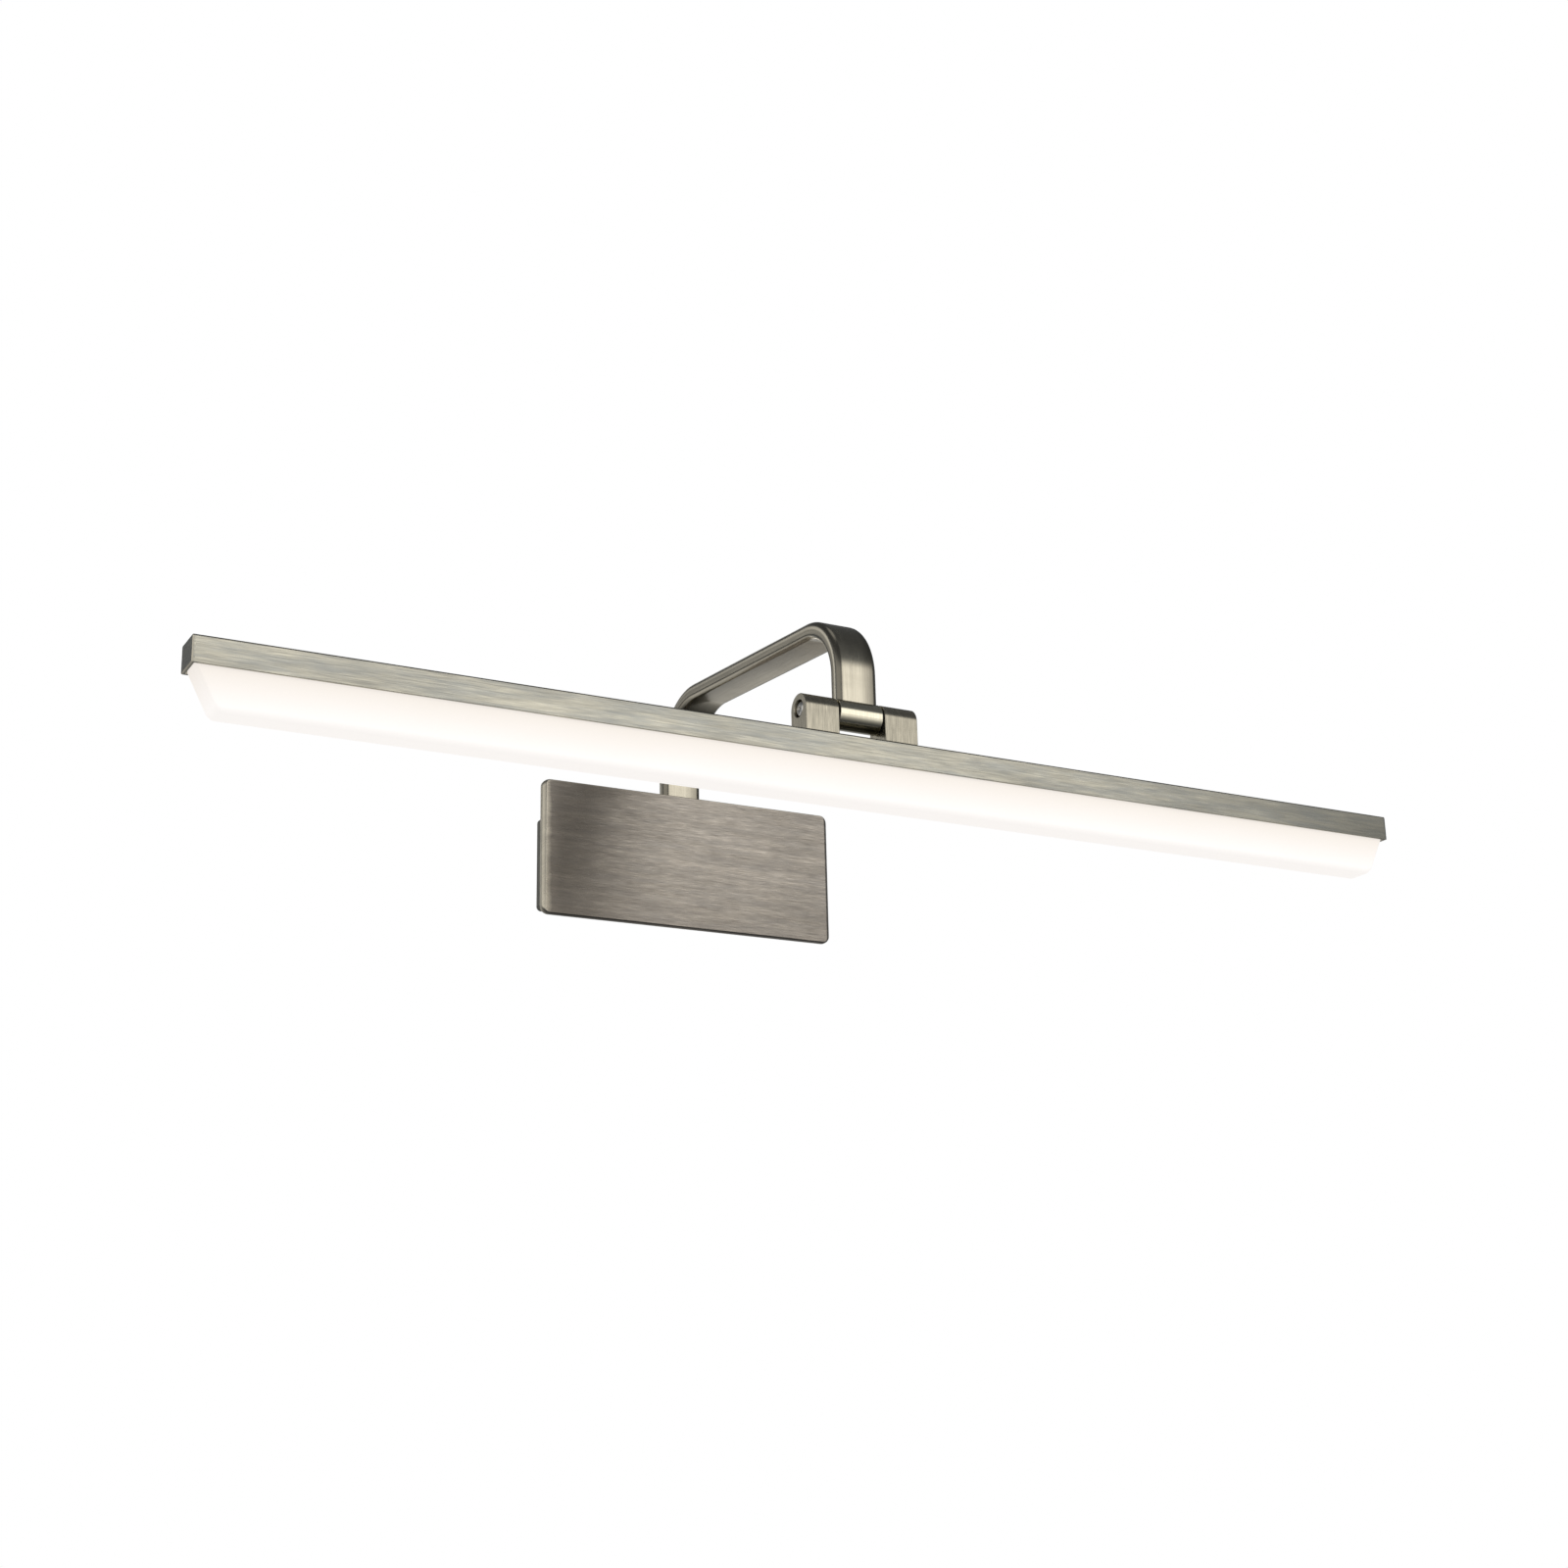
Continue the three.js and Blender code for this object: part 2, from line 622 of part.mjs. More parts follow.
function leftCheek() {
  const bore = M4.shank + 2 * RUN;
  const recess = rod(RECESS_RADIUS, RECESS_DEPTH + 1, 32);
  return carve(
    cheekBlank(-CHEEK_OUTER, -CHEEK_INNER),
    lay(rod(bore, CHEEK_OUTER), 'right', -CHEEK_OUTER - 1, HINGE_Y, HINGE_Z),
    lay(recess, 'right', -CHEEK_OUTER - 1, HINGE_Y, HINGE_Z),
    cheekScrewHole(CHEEK_SCREW_LEFT),
  );
}

function rightCheek() {
  const bore = NIPPLE_RADIUS + 2 * RUN;
  return carve(
    cheekBlank(CHEEK_INNER, CHEEK_OUTER),
    lay(rod(bore, DUCT_X + DUCT_RADIUS - CHEEK_INNER + 1), 'right', CHEEK_INNER - 1, HINGE_Y, HINGE_Z),
    lay(rod(DUCT_RADIUS, HINGE_Z - BAR_HEIGHT + 1), 'up', DUCT_X, HINGE_Y, BAR_HEIGHT - 1),
    cheekScrewHole(CHEEK_SCREW_RIGHT),
  );
}

// ---------------------------------------------------------------- lamp head

const BAR_INNER = BAR_DEPTH / 2 - BAR_WALL;
const BAR_CEILING = BAR_HEIGHT - BAR_ROOF;
const TAPE_TOP = BAR_CEILING - GAP;
const BOARD_TOP = TAPE_TOP - TAPE_THICKNESS - GAP;
const BOARD_BOTTOM = BOARD_TOP - BOARD_THICKNESS;

function headChannel() {
  const outer = BAR_DEPTH / 2;
  const bead = BAR_INNER - 0.6;
  const profile = outline([
    [-outer, 0, 0.25], [-BAR_INNER, 0, 0.25], [-BAR_INNER, 2.4, 0], [-bead, 2.7, 0],
    [-bead, 3.3, 0], [-BAR_INNER, 3.6, 0], [-BAR_INNER, BAR_CEILING, 0],
    [BAR_INNER, BAR_CEILING, 0], [BAR_INNER, 3.6, 0], [bead, 3.3, 0],
    [bead, 2.7, 0], [BAR_INNER, 2.4, 0], [BAR_INNER, 0, 0.25], [outer, 0, 0.25],
    [outer, BAR_HEIGHT, 0.7], [-outer, BAR_HEIGHT, 0.7],
  ]);
  const bar = lay(prism(profile, 2 * CHANNEL_END), 'right', -CHANNEL_END, HINGE_Y, 0);
  const sink = M3.head - M3.shank;
  const countersinks = [CHEEK_SCREW_LEFT, CHEEK_SCREW_RIGHT].map((x) => lay(turned([
    [0, -1], [M3.head + GAP, -1], [M3.head + GAP, 0], [M3.shank + GAP, sink],
    [M3.shank + GAP, BAR_ROOF + 1], [0, BAR_ROOF + 1],
  ]), 'up', x, HINGE_Y, BAR_CEILING));
  const leadHole = lay(rod(DUCT_RADIUS, BAR_ROOF + 2), 'up', DUCT_X, HINGE_Y, BAR_CEILING - 1);
  return carve(bar, ...countersinks, leadHole);
}

// The cap's plate closes the channel's end; its tongue sits above the diffuser's rim.
function endCap() {
  const outer = BAR_DEPTH / 2;
  const plate = outline([
    [-outer, 0, 0.25], [outer, 0, 0.25], [outer, BAR_HEIGHT, 0.7], [-outer, BAR_HEIGHT, 0.7],
  ]);
  const reach = BAR_INNER - GAP;
  const tongueEnd = BAR_LENGTH / 2 - BOARD_HALF - 1;
  return fuse(
    lay(prism(plate, CAP_THICKNESS), 'right', 0, 0, 0),
    block(CAP_THICKNESS / 2, tongueEnd, -reach, reach, DIFFUSER_RIM + GAP, BAR_CEILING - GAP),
  );
}

function diffuserBody(inset) {
  const edge = DIFFUSER_EDGE;
  const half = CHANNEL_END - GAP - inset - edge;
  const low = -DIFFUSER_DROP + inset + edge;
  const high = BAR_HEIGHT + edge;
  const depth = BAR_DEPTH - 2 * BAR_WALL - 2 * GAP - 2 * inset - 2 * edge;
  const radius = DIFFUSER_CORNER - edge;
  const shape = outline([
    [-half, high, 0], [-half, 0, 0], [-half + DIFFUSER_SLANT, low, radius],
    [half - DIFFUSER_SLANT, low, radius], [half, 0, 0], [half, high, 0],
  ]);
  const body = new THREE.ExtrudeGeometry(shape, {
    depth, bevelThickness: edge, bevelSize: edge, bevelSegments: 4, curveSegments: 3,
  });
  return lay(body, 'outward', 0, HINGE_Y + depth / 2, 0);
}

function diffuser() {
  const trim = block(-BAR_LENGTH, BAR_LENGTH, BAR_FRONT, BAR_FRONT + BAR_DEPTH, DIFFUSER_RIM, 20);
  const face = BAR_INNER - GAP;
  const grooves = [-1, 1].map((side) => {
    const middle = HINGE_Y + side * face;
    return block(-BAR_LENGTH, BAR_LENGTH, middle - 0.7, middle + 0.7, 2, 4);
  });
  return carve(diffuserBody(0), diffuserBody(DIFFUSER_WALL), trim, ...grooves);
}

function thermalTape() {
  const half = BOARD_HALF - 1;
  const depth = BOARD_WIDTH / 2 - 0.5;
  const strip = block(-half, half, HINGE_Y - depth, HINGE_Y + depth, TAPE_TOP - TAPE_THICKNESS, TAPE_TOP);
  return carve(strip, lay(rod(DUCT_RADIUS + GAP, 3), 'up', DUCT_X, HINGE_Y, TAPE_TOP - 2));
}

function ledBoard() {
  const depth = BOARD_WIDTH / 2;
  const strip = block(-BOARD_HALF, BOARD_HALF, HINGE_Y - depth, HINGE_Y + depth, BOARD_BOTTOM, BOARD_TOP);
  const first = (-(LED_COUNT - 1) / 2) * LED_PITCH;
  const chips = Array.from({ length: LED_COUNT }, (_, index) => {
    const x = first + index * LED_PITCH;
    const half = LED_SIZE / 2;
    return block(
      x - half, x + half, HINGE_Y - half, HINGE_Y + half,
      BOARD_BOTTOM - LED_HEIGHT, BOARD_BOTTOM + BOARD_THICKNESS / 2,
    );
  });
  const leadHole = lay(rod(DUCT_RADIUS, 4), 'up', DUCT_X, HINGE_Y, BOARD_BOTTOM - 1);
  return carve(fuse(strip, ...chips), leadHole);
}

const CONNECTOR_START = 22.4;
const HEAD_LEAD_DROP = BOARD_BOTTOM - 2.3;

function ledConnector() {
  const top = BOARD_BOTTOM - GAP;
  return block(
    CONNECTOR_START, CONNECTOR_START + 5, HINGE_Y - 2, HINGE_Y + 2,
    HEAD_LEAD_DROP - LEAD_RADIUS, top,
  );
}

// The lead carries on from the hinge's axis, down through the right cheek to the board.
function headLead() {
  return roundLead(LEAD_RADIUS, [
    corner(NIPPLE_END + GAP, HINGE_Y, HINGE_Z), corner(DUCT_X, HINGE_Y, HINGE_Z, 2),
    corner(DUCT_X, HINGE_Y, HEAD_LEAD_DROP, 2), corner(CONNECTOR_START - GAP, HINGE_Y, HEAD_LEAD_DROP),
  ]);
}

// ---------------------------------------------------------------- materials

const FINISHES = {
  antiqueBrass: { color: 0x8f8672, roughness: 0.38, metalness: 1 },
  steel: { color: 0xa9abad, roughness: 0.42, metalness: 1 },
  nickel: { color: 0xc9c6bf, roughness: 0.25, metalness: 1 },
  brass: { color: 0xc2a25a, roughness: 0.35, metalness: 1 },
  opal: { color: 0xfff6ea, roughness: 0.35, metalness: 0 },
  blackPlastic: { color: 0x1e1e20, roughness: 0.55, metalness: 0 },
  whitePlastic: { color: 0xe9e7e1, roughness: 0.5, metalness: 0 },
  rubber: { color: 0x2a2a2a, roughness: 0.9, metalness: 0 },
  boardWhite: { color: 0xf2f1ec, roughness: 0.45, metalness: 0 },
  boardGreen: { color: 0x2f6b3d, roughness: 0.5, metalness: 0 },
  wireBrown: { color: 0x5a3420, roughness: 0.5, metalness: 0 },
  wireBlue: { color: 0x27508f, roughness: 0.5, metalness: 0 },
};

const lamp = new THREE.Group();
const wallMount = new THREE.Group();
const lampHead = new THREE.Group();
lamp.add(wallMount, lampHead);

function add(group, name, finish, geometry, position = [0, 0, 0], pointing = UP) {
  const mesh = new THREE.Mesh(geometry, new THREE.MeshStandardMaterial(FINISHES[finish]));
  mesh.name = name;
  mesh.position.set(...position);
  mesh.quaternion.setFromUnitVectors(UP, pointing);
  group.add(mesh);
}

const LEFT = RIGHT.clone().negate();
const OUTWARD = BACK.clone().negate();

// ---------------------------------------------------------------- assembly: wall mount

add(wallMount, 'wall_bracket', 'steel', wallBracket());
add(wallMount, 'cable_grommet', 'rubber', cableGrommet());
add(wallMount, 'base_housing', 'antiqueBrass', baseHousing());
add(wallMount, 'front_panel', 'antiqueBrass', frontPanel());

const bossFace = -BRACKET_SHEET - EARTH_BOSS_HEIGHT - GAP;
const [earthX, earthZ] = EARTH_SPOT;
add(wallMount, 'earth_washer', 'nickel', ring(M3.head, M3.shank + RUN, 0.6), [earthX, bossFace, earthZ], OUTWARD);
add(wallMount, 'earth_screw', 'brass', crossScrew(M3, 5), [earthX, bossFace - 0.6 - GAP, earthZ], BACK);

const coverSeat = BOX_WIDTH / 2 + GAP;
add(
  wallMount, 'cover_screw_left', 'nickel', crossScrew(M3, 8),
  [-coverSeat, COVER_SCREW_DEPTH, BOX_MIDDLE], RIGHT,
);
add(
  wallMount, 'cover_screw_right', 'nickel', crossScrew(M3, 8),
  [coverSeat, COVER_SCREW_DEPTH, BOX_MIDDLE], LEFT,
);

STUD_SPOTS.forEach(([x, z], index) => {
  const nut = hexNut(STUD_RADIUS + RUN, 6.4, 2.4);
  add(wallMount, `panel_nut_${index + 1}`, 'nickel', nut, [x, BOX_INNER_FRONT + GAP, z], BACK);
});

add(wallMount, 'driver_case', 'whitePlastic', driverCase());
add(wallMount, 'driver_lid', 'whitePlastic', driverLid());
add(wallMount, 'driver_board', 'boardGreen', driverBoard());
add(wallMount, 'driver_transformer', 'blackPlastic', driverTransformer());
add(wallMount, 'driver_capacitor', 'blackPlastic', driverCapacitor());

add(wallMount, 'terminal_block', 'whitePlastic', terminalBlock());
const terminalRear = BOX_INNER_FRONT + GAP + TERMINAL_DEPTH;
POLE_SPOTS.forEach((x, pole) => {
  add(wallMount, `terminal_insert_${pole + 1}`, 'brass', terminalInsert(), [x, WIRE_Y, TERMINAL_BOTTOM + 1]);
  POLE_SCREW_SPOTS.forEach((z, end) => {
    const name = `terminal_screw_${2 * pole + end + 1}`;
    add(wallMount, name, 'nickel', crossScrew(M2, 3), [x, terminalRear - 0.6, z], OUTWARD);
  });
});
const fixingX = TERMINAL_LEFT + TERMINAL_WIDTH / 2;
add(
  wallMount, 'terminal_fixing_screw', 'nickel', crossScrew(M3, 7.3),
  [fixingX, terminalRear - 3 + GAP, TERMINAL_BOTTOM + 8], OUTWARD,
);
add(wallMount, 'live_wire', 'wireBrown', liveWire());
add(wallMount, 'neutral_wire', 'wireBlue', neutralWire());

add(wallMount, 'arm', 'antiqueBrass', arm());
add(wallMount, 'arm_flange', 'steel', armFlange());
const flangeUnderside = BOX_TOP - BOX_SHEET - GAP - FLANGE_THICKNESS - GAP;
for (const [name, side] of [['flange_screw_left', -1], ['flange_screw_right', 1]]) {
  const screw = crossScrew(M3, BOX_TOP - flangeUnderside - 0.2);
  add(wallMount, name, 'nickel', screw, [side * FLANGE_SCREW_X, POST_Y + 3, flangeUnderside]);
}
add(wallMount, 'arm_lead', 'blackPlastic', armLead());

add(wallMount, 'hinge_barrel', 'antiqueBrass', hingeBarrel());
add(wallMount, 'hinge_nipple', 'steel', hingeNipple());
const washerStart = BARREL_HALF + RUN;
add(
  wallMount, 'friction_washer_left', 'blackPlastic', ring(5, M4.shank + 2 * RUN, WASHER_THICKNESS),
  [-washerStart, HINGE_Y, HINGE_Z], LEFT,
);
add(
  wallMount, 'friction_washer_right', 'blackPlastic', ring(5, NIPPLE_RADIUS + RUN, WASHER_THICKNESS),
  [washerStart, HINGE_Y, HINGE_Z], RIGHT,
);
const recessFloor = -CHEEK_OUTER + RECESS_DEPTH;
add(
  wallMount, 'hinge_spring_washer', 'nickel', ring(3, M4.shank + 2 * RUN, 0.8),
  [recessFloor - RUN, HINGE_Y, HINGE_Z], LEFT,
);
const hingeHeadSeat = recessFloor - 0.8 - 2 * RUN;
add(
  wallMount, 'hinge_screw', 'nickel', crossScrew(M4, -CAVITY_HALF - 0.5 - hingeHeadSeat),
  [hingeHeadSeat, HINGE_Y, HINGE_Z], RIGHT,
);

// ---------------------------------------------------------------- assembly: lamp head

add(lampHead, 'hinge_cheek_left', 'antiqueBrass', leftCheek());
add(lampHead, 'hinge_cheek_right', 'antiqueBrass', rightCheek());
for (const [name, x] of [['cheek_screw_left', CHEEK_SCREW_LEFT], ['cheek_screw_right', CHEEK_SCREW_RIGHT]]) {
  add(lampHead, name, 'nickel', countersunkScrew(8), [x, HINGE_Y, BAR_CEILING + RUN]);
}
add(lampHead, 'head_channel', 'antiqueBrass', headChannel());
add(lampHead, 'end_cap_left', 'antiqueBrass', endCap(), [-BAR_LENGTH / 2, HINGE_Y, 0]);
add(lampHead, 'end_cap_right', 'antiqueBrass', endCap().rotateZ(Math.PI), [BAR_LENGTH / 2, HINGE_Y, 0]);
add(lampHead, 'thermal_tape', 'whitePlastic', thermalTape());
add(lampHead, 'led_board', 'boardWhite', ledBoard());
add(lampHead, 'led_connector', 'whitePlastic', ledConnector());
add(lampHead, 'head_lead', 'blackPlastic', headLead());
add(lampHead, 'diffuser', 'opal', diffuser());

export default lamp;
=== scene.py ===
"""Looks of a wall picture light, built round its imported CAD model.

Metres, in the CAD model's frame: +X runs along the bar to the right, +Y goes into the wall and
+Z is up. Fine sizes are written in millimetres and turned to metres by MM.
"""
import json
import math

import bmesh
import bpy
from mathutils import Matrix, Vector


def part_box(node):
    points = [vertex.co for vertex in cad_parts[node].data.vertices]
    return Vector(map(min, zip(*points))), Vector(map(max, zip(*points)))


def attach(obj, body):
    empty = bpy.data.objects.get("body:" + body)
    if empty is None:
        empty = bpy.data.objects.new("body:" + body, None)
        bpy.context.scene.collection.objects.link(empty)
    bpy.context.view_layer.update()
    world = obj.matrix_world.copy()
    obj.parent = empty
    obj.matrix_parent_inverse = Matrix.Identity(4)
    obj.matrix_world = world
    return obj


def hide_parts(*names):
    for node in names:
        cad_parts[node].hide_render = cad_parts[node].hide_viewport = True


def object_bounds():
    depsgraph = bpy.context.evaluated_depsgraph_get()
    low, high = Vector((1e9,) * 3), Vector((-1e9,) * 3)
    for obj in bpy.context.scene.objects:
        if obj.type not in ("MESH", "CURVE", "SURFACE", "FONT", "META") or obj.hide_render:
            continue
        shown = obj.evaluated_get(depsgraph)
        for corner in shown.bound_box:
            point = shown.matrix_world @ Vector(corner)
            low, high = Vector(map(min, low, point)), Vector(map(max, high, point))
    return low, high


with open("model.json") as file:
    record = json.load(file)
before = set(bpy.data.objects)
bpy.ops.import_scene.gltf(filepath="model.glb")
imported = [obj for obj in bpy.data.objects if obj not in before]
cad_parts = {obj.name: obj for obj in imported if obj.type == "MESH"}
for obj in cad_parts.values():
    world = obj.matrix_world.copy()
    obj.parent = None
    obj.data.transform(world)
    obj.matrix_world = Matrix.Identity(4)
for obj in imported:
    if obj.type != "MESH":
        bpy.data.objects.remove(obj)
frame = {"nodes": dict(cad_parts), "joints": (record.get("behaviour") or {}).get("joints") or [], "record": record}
cad_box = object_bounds()

MM = 0.001
X, Y, Z = Vector((1, 0, 0)), Vector((0, 1, 0)), Vector((0, 0, 1))
HINGE = Vector(frame["joints"][0]["pos_m"])    # on the axis of the lamp head's tilt


def mm(*numbers):
    """Millimetres as metres."""
    return [number * MM for number in numbers]


def quarter(steps):
    """Angles of a quarter turn, from 0 to 90 degrees."""
    return [math.radians(90 * step / steps) for step in range(steps + 1)]


# ---------------------------------------------------------------- camera

CAMERA_PLACE = Vector((-0.4513, -0.9441, -0.29215))
CAMERA_YAW = math.radians(28.34)       # from +Y towards +X
CAMERA_PITCH = math.radians(17.53)     # above the horizon
CAMERA_ROLL = math.radians(-1.247)
CAMERA_LENS = 55.55                    # millimetres
CAMERA_SHIFT = (0.00225, 0.0046)


def make_camera():
    data = bpy.data.cameras.new("camera")
    data.lens = CAMERA_LENS
    data.shift_x, data.shift_y = CAMERA_SHIFT
    data.clip_start = 0.01
    camera = bpy.data.objects.new("camera", data)
    bpy.context.scene.collection.objects.link(camera)
    level = Vector((math.sin(CAMERA_YAW), math.cos(CAMERA_YAW), 0))
    forward = level * math.cos(CAMERA_PITCH) + Z * math.sin(CAMERA_PITCH)
    right = forward.cross(Z).normalized()
    up = right.cross(forward)
    turned_right = right * math.cos(CAMERA_ROLL) + up * math.sin(CAMERA_ROLL)
    turned_up = up * math.cos(CAMERA_ROLL) - right * math.sin(CAMERA_ROLL)
    turn = Matrix((turned_right, turned_up, -forward)).transposed()
    camera.matrix_world = Matrix.Translation(CAMERA_PLACE) @ turn.to_4x4()
    bpy.context.scene.camera = camera


make_camera()

# ---------------------------------------------------------------- shader nodes


class Graph:
    """The node tree of one material, with short ways to add what the materials share."""

    def __init__(self, name, tree=None):
        if tree is None:
            self.material = bpy.data.materials.new(name)
            self.material.use_nodes = True
            tree = self.material.node_tree
            self.shader = tree.nodes["Principled BSDF"]
        self.tree = tree

    def node(self, kind, **settings):
        made = self.tree.nodes.new("ShaderNode" + kind)
        for key, value in settings.items():
            setattr(made, key, value)
        return made

    def link(self, source, target):
        self.tree.links.new(source, target)

    def brush_place(self):
        return self.node("UVMap", uv_map="brush").outputs["UV"]

    def object_place(self):
        return self.node("TexCoord").outputs["Object"]

    def split(self, vector):
        parts = self.node("SeparateXYZ")
        self.link(vector, parts.inputs[0])
        return [parts.outputs[axis] for axis in "XYZ"]

    def scaled(self, place, sizes):
        """A place counted in sizes, which are millimetres along each axis."""
        mapping = self.node("Mapping")
        mapping.inputs["Scale"].default_value = [1 / (size * MM) for size in sizes]
        self.link(place, mapping.inputs["Vector"])
        return mapping.outputs["Vector"]

    def noise(self, place, sizes, detail, roughness=0.5):
        """Noise whose features are about as large as sizes, in millimetres along each axis."""
        noise = self.node("TexNoise")
        noise.inputs["Scale"].default_value = 1.0
        noise.inputs["Detail"].default_value = detail
        noise.inputs["Roughness"].default_value = roughness
        self.link(self.scaled(place, sizes), noise.inputs["Vector"])
        return noise.outputs["Fac"]

    def spread(self, value, low, high, to_low=0.0, to_high=1.0):
        """Stretches low..high of a value to to_low..to_high, and stops there."""
        ranged = self.node("MapRange")
        ends = {"From Min": low, "From Max": high, "To Min": to_low, "To Max": to_high}
        for key, number in ends.items():
            ranged.inputs[key].default_value = number
        self.link(value, ranged.inputs["Value"])
        return ranged.outputs["Result"]

    def blend(self, factor, one, other):
        """Between two colours, each a plain RGB or a socket. The factor is a socket."""
        mix = self.node("Mix", data_type="RGBA")
        self.link(factor, mix.inputs[0])
        for value, socket in zip((one, other), mix.inputs[6:8]):    # the node's A and B as colours
            if isinstance(value, bpy.types.NodeSocket):
                self.link(value, socket)
            else:
                socket.default_value = (*value, 1)
        return mix.outputs[2]

    def window(self, value, rise_from, rise_to, fall_from, fall_to):
        """1 between rise_to and fall_from, 0 outside rise_from and fall_to."""
        rising = self.spread(value, rise_from, rise_to)
        return self.math("MULTIPLY", rising, self.spread(value, fall_from, fall_to, 1, 0))

    def math(self, operation, one, other):
        made = self.node("Math", operation=operation)
        for value, socket in ((one, made.inputs[0]), (other, made.inputs[1])):
            if isinstance(value, bpy.types.NodeSocket):
                self.link(value, socket)
            else:
                socket.default_value = value
        return made.outputs["Value"]

    def largest(self, first, *others):
        for other in others:
            first = self.math("MAXIMUM", first, other)
        return first

    def product(self, first, *others):
        for other in others:
            first = self.math("MULTIPLY", first, other)
        return first

    def wander(self, value, place, sizes, detail, reach):
        """The value and up to reach millimetres of noise, which makes its limits uneven."""
        noise = self.math("MULTIPLY", self.noise(place, sizes, detail), reach * MM)
        return self.math("ADD", value, noise)

    def colour(self, value):
        self.link(value, self.shader.inputs["Base Color"])

    def roughness(self, value, rough, smooth):
        """The shader's roughness, from rough where the value is low to smooth where it's high."""
        self.link(self.spread(value, 0.3, 0.7, rough, smooth), self.shader.inputs["Roughness"])

    def bump(self, height, strength, depth):
        """Bumps of a height map, depth millimetres high."""
        made = self.node("Bump")
        made.inputs["Strength"].default_value = strength
        made.inputs["Distance"].default_value = depth * MM
        self.link(height, made.inputs["Height"])
        self.link(made.outputs["Normal"], self.shader.inputs["Normal"])

    def set(self, **values):
        """Plain values for the shader's sockets, with _ for a space in a name."""
        for key, value in values.items():
            self.shader.inputs[key.replace("_", " ")].default_value = value


# ---------------------------------------------------------------- stage

FLOOR_DROP = 0.72
FLOOR_SIZE = 24.0
FLOOR_PAINT = (0.60, 0.60, 0.595), (0.64, 0.64, 0.635)
FLOOR_MIRRORED_DARK = (0.06, 0.063, 0.066)
FLOOR_BEHIND = (0.3, 3.0, 0, 0.46)      # along Y from, to, and the brightness there
FLOOR_AHEAD = (-3.0, -0.7, 0.9, 0)

# What gloss mirrors. The direction is a unit vector. Each panel fades in between the first two
# numbers of a span and out between the last two, if there are four.
FRONT_WALL_SIDES = (-0.14, 0.20, 0.53, 0.69)
FRONT_WALL_DEPTHS = (-0.1, -0.35)
FRONT_WALL_HEIGHTS = (-0.30, -0.08, 0.45, 0.60)
FRONT_WALL_RADIANCE = 1.15
LEFT_WALL_SIDES = (-0.12, -0.4)
LEFT_WALL_DEPTHS = (0.45, 0.2)
LEFT_WALL_HEIGHTS = (-0.4, -0.15, 0.4, 0.62)
LEFT_WALL_RADIANCE = 0.5
SWEEP_SIDES = (-0.02, 0.14, 0.33, 0.52)
SWEEP_DEPTHS = (0.74, 0.84)
SWEEP_RADIANCE = 0.9
STRIP_SIDES = (-0.58, -0.53, -0.45, -0.40)
STRIP_DEPTHS = (0.6, 0.7)
STRIP_HEIGHTS = (0.1, 0.2, 0.45, 0.55)
STRIP_RADIANCE = 0.78
ZENITH_HEIGHTS = (0.945, 0.98)
ZENITH_RADIANCE = 0.45
ROOM_HEIGHTS = (0.3, 0.8)
ROOM_RADIANCE = 0.17
OVERHEAD_RADIANCE = 0.08
COOL_WHITE = (0.90, 0.95, 1.0)
WARM_WHITE = (1.0, 0.985, 0.955)


def softbox(name, azimuth, elevation, distance, width, height, radiance, tint):
    """A large soft light aimed at the lamp, which gloss doesn't mirror. Azimuth 0 is straight out
    from the wall and 90 is to the right; radiance is the light's own brightness."""
    data = bpy.data.lights.new(name, "AREA")
    data.shape = "RECTANGLE"
    data.size, data.size_y = width, height
    data.energy = radiance * math.pi * width * height
    data.color = tint
    lamp = bpy.data.objects.new(name, data)
    bpy.context.scene.collection.objects.link(lamp)
    a, e = math.radians(azimuth), math.radians(elevation)
    away = Vector((math.sin(a) * math.cos(e), -math.cos(a) * math.cos(e), math.sin(e)))
    middle = (cad_box[0] + cad_box[1]) / 2
    lamp.location = middle + away * distance
    lamp.rotation_mode = "QUATERNION"
    lamp.rotation_quaternion = away.to_track_quat("Z", "Y")
    lamp.visible_glossy = False


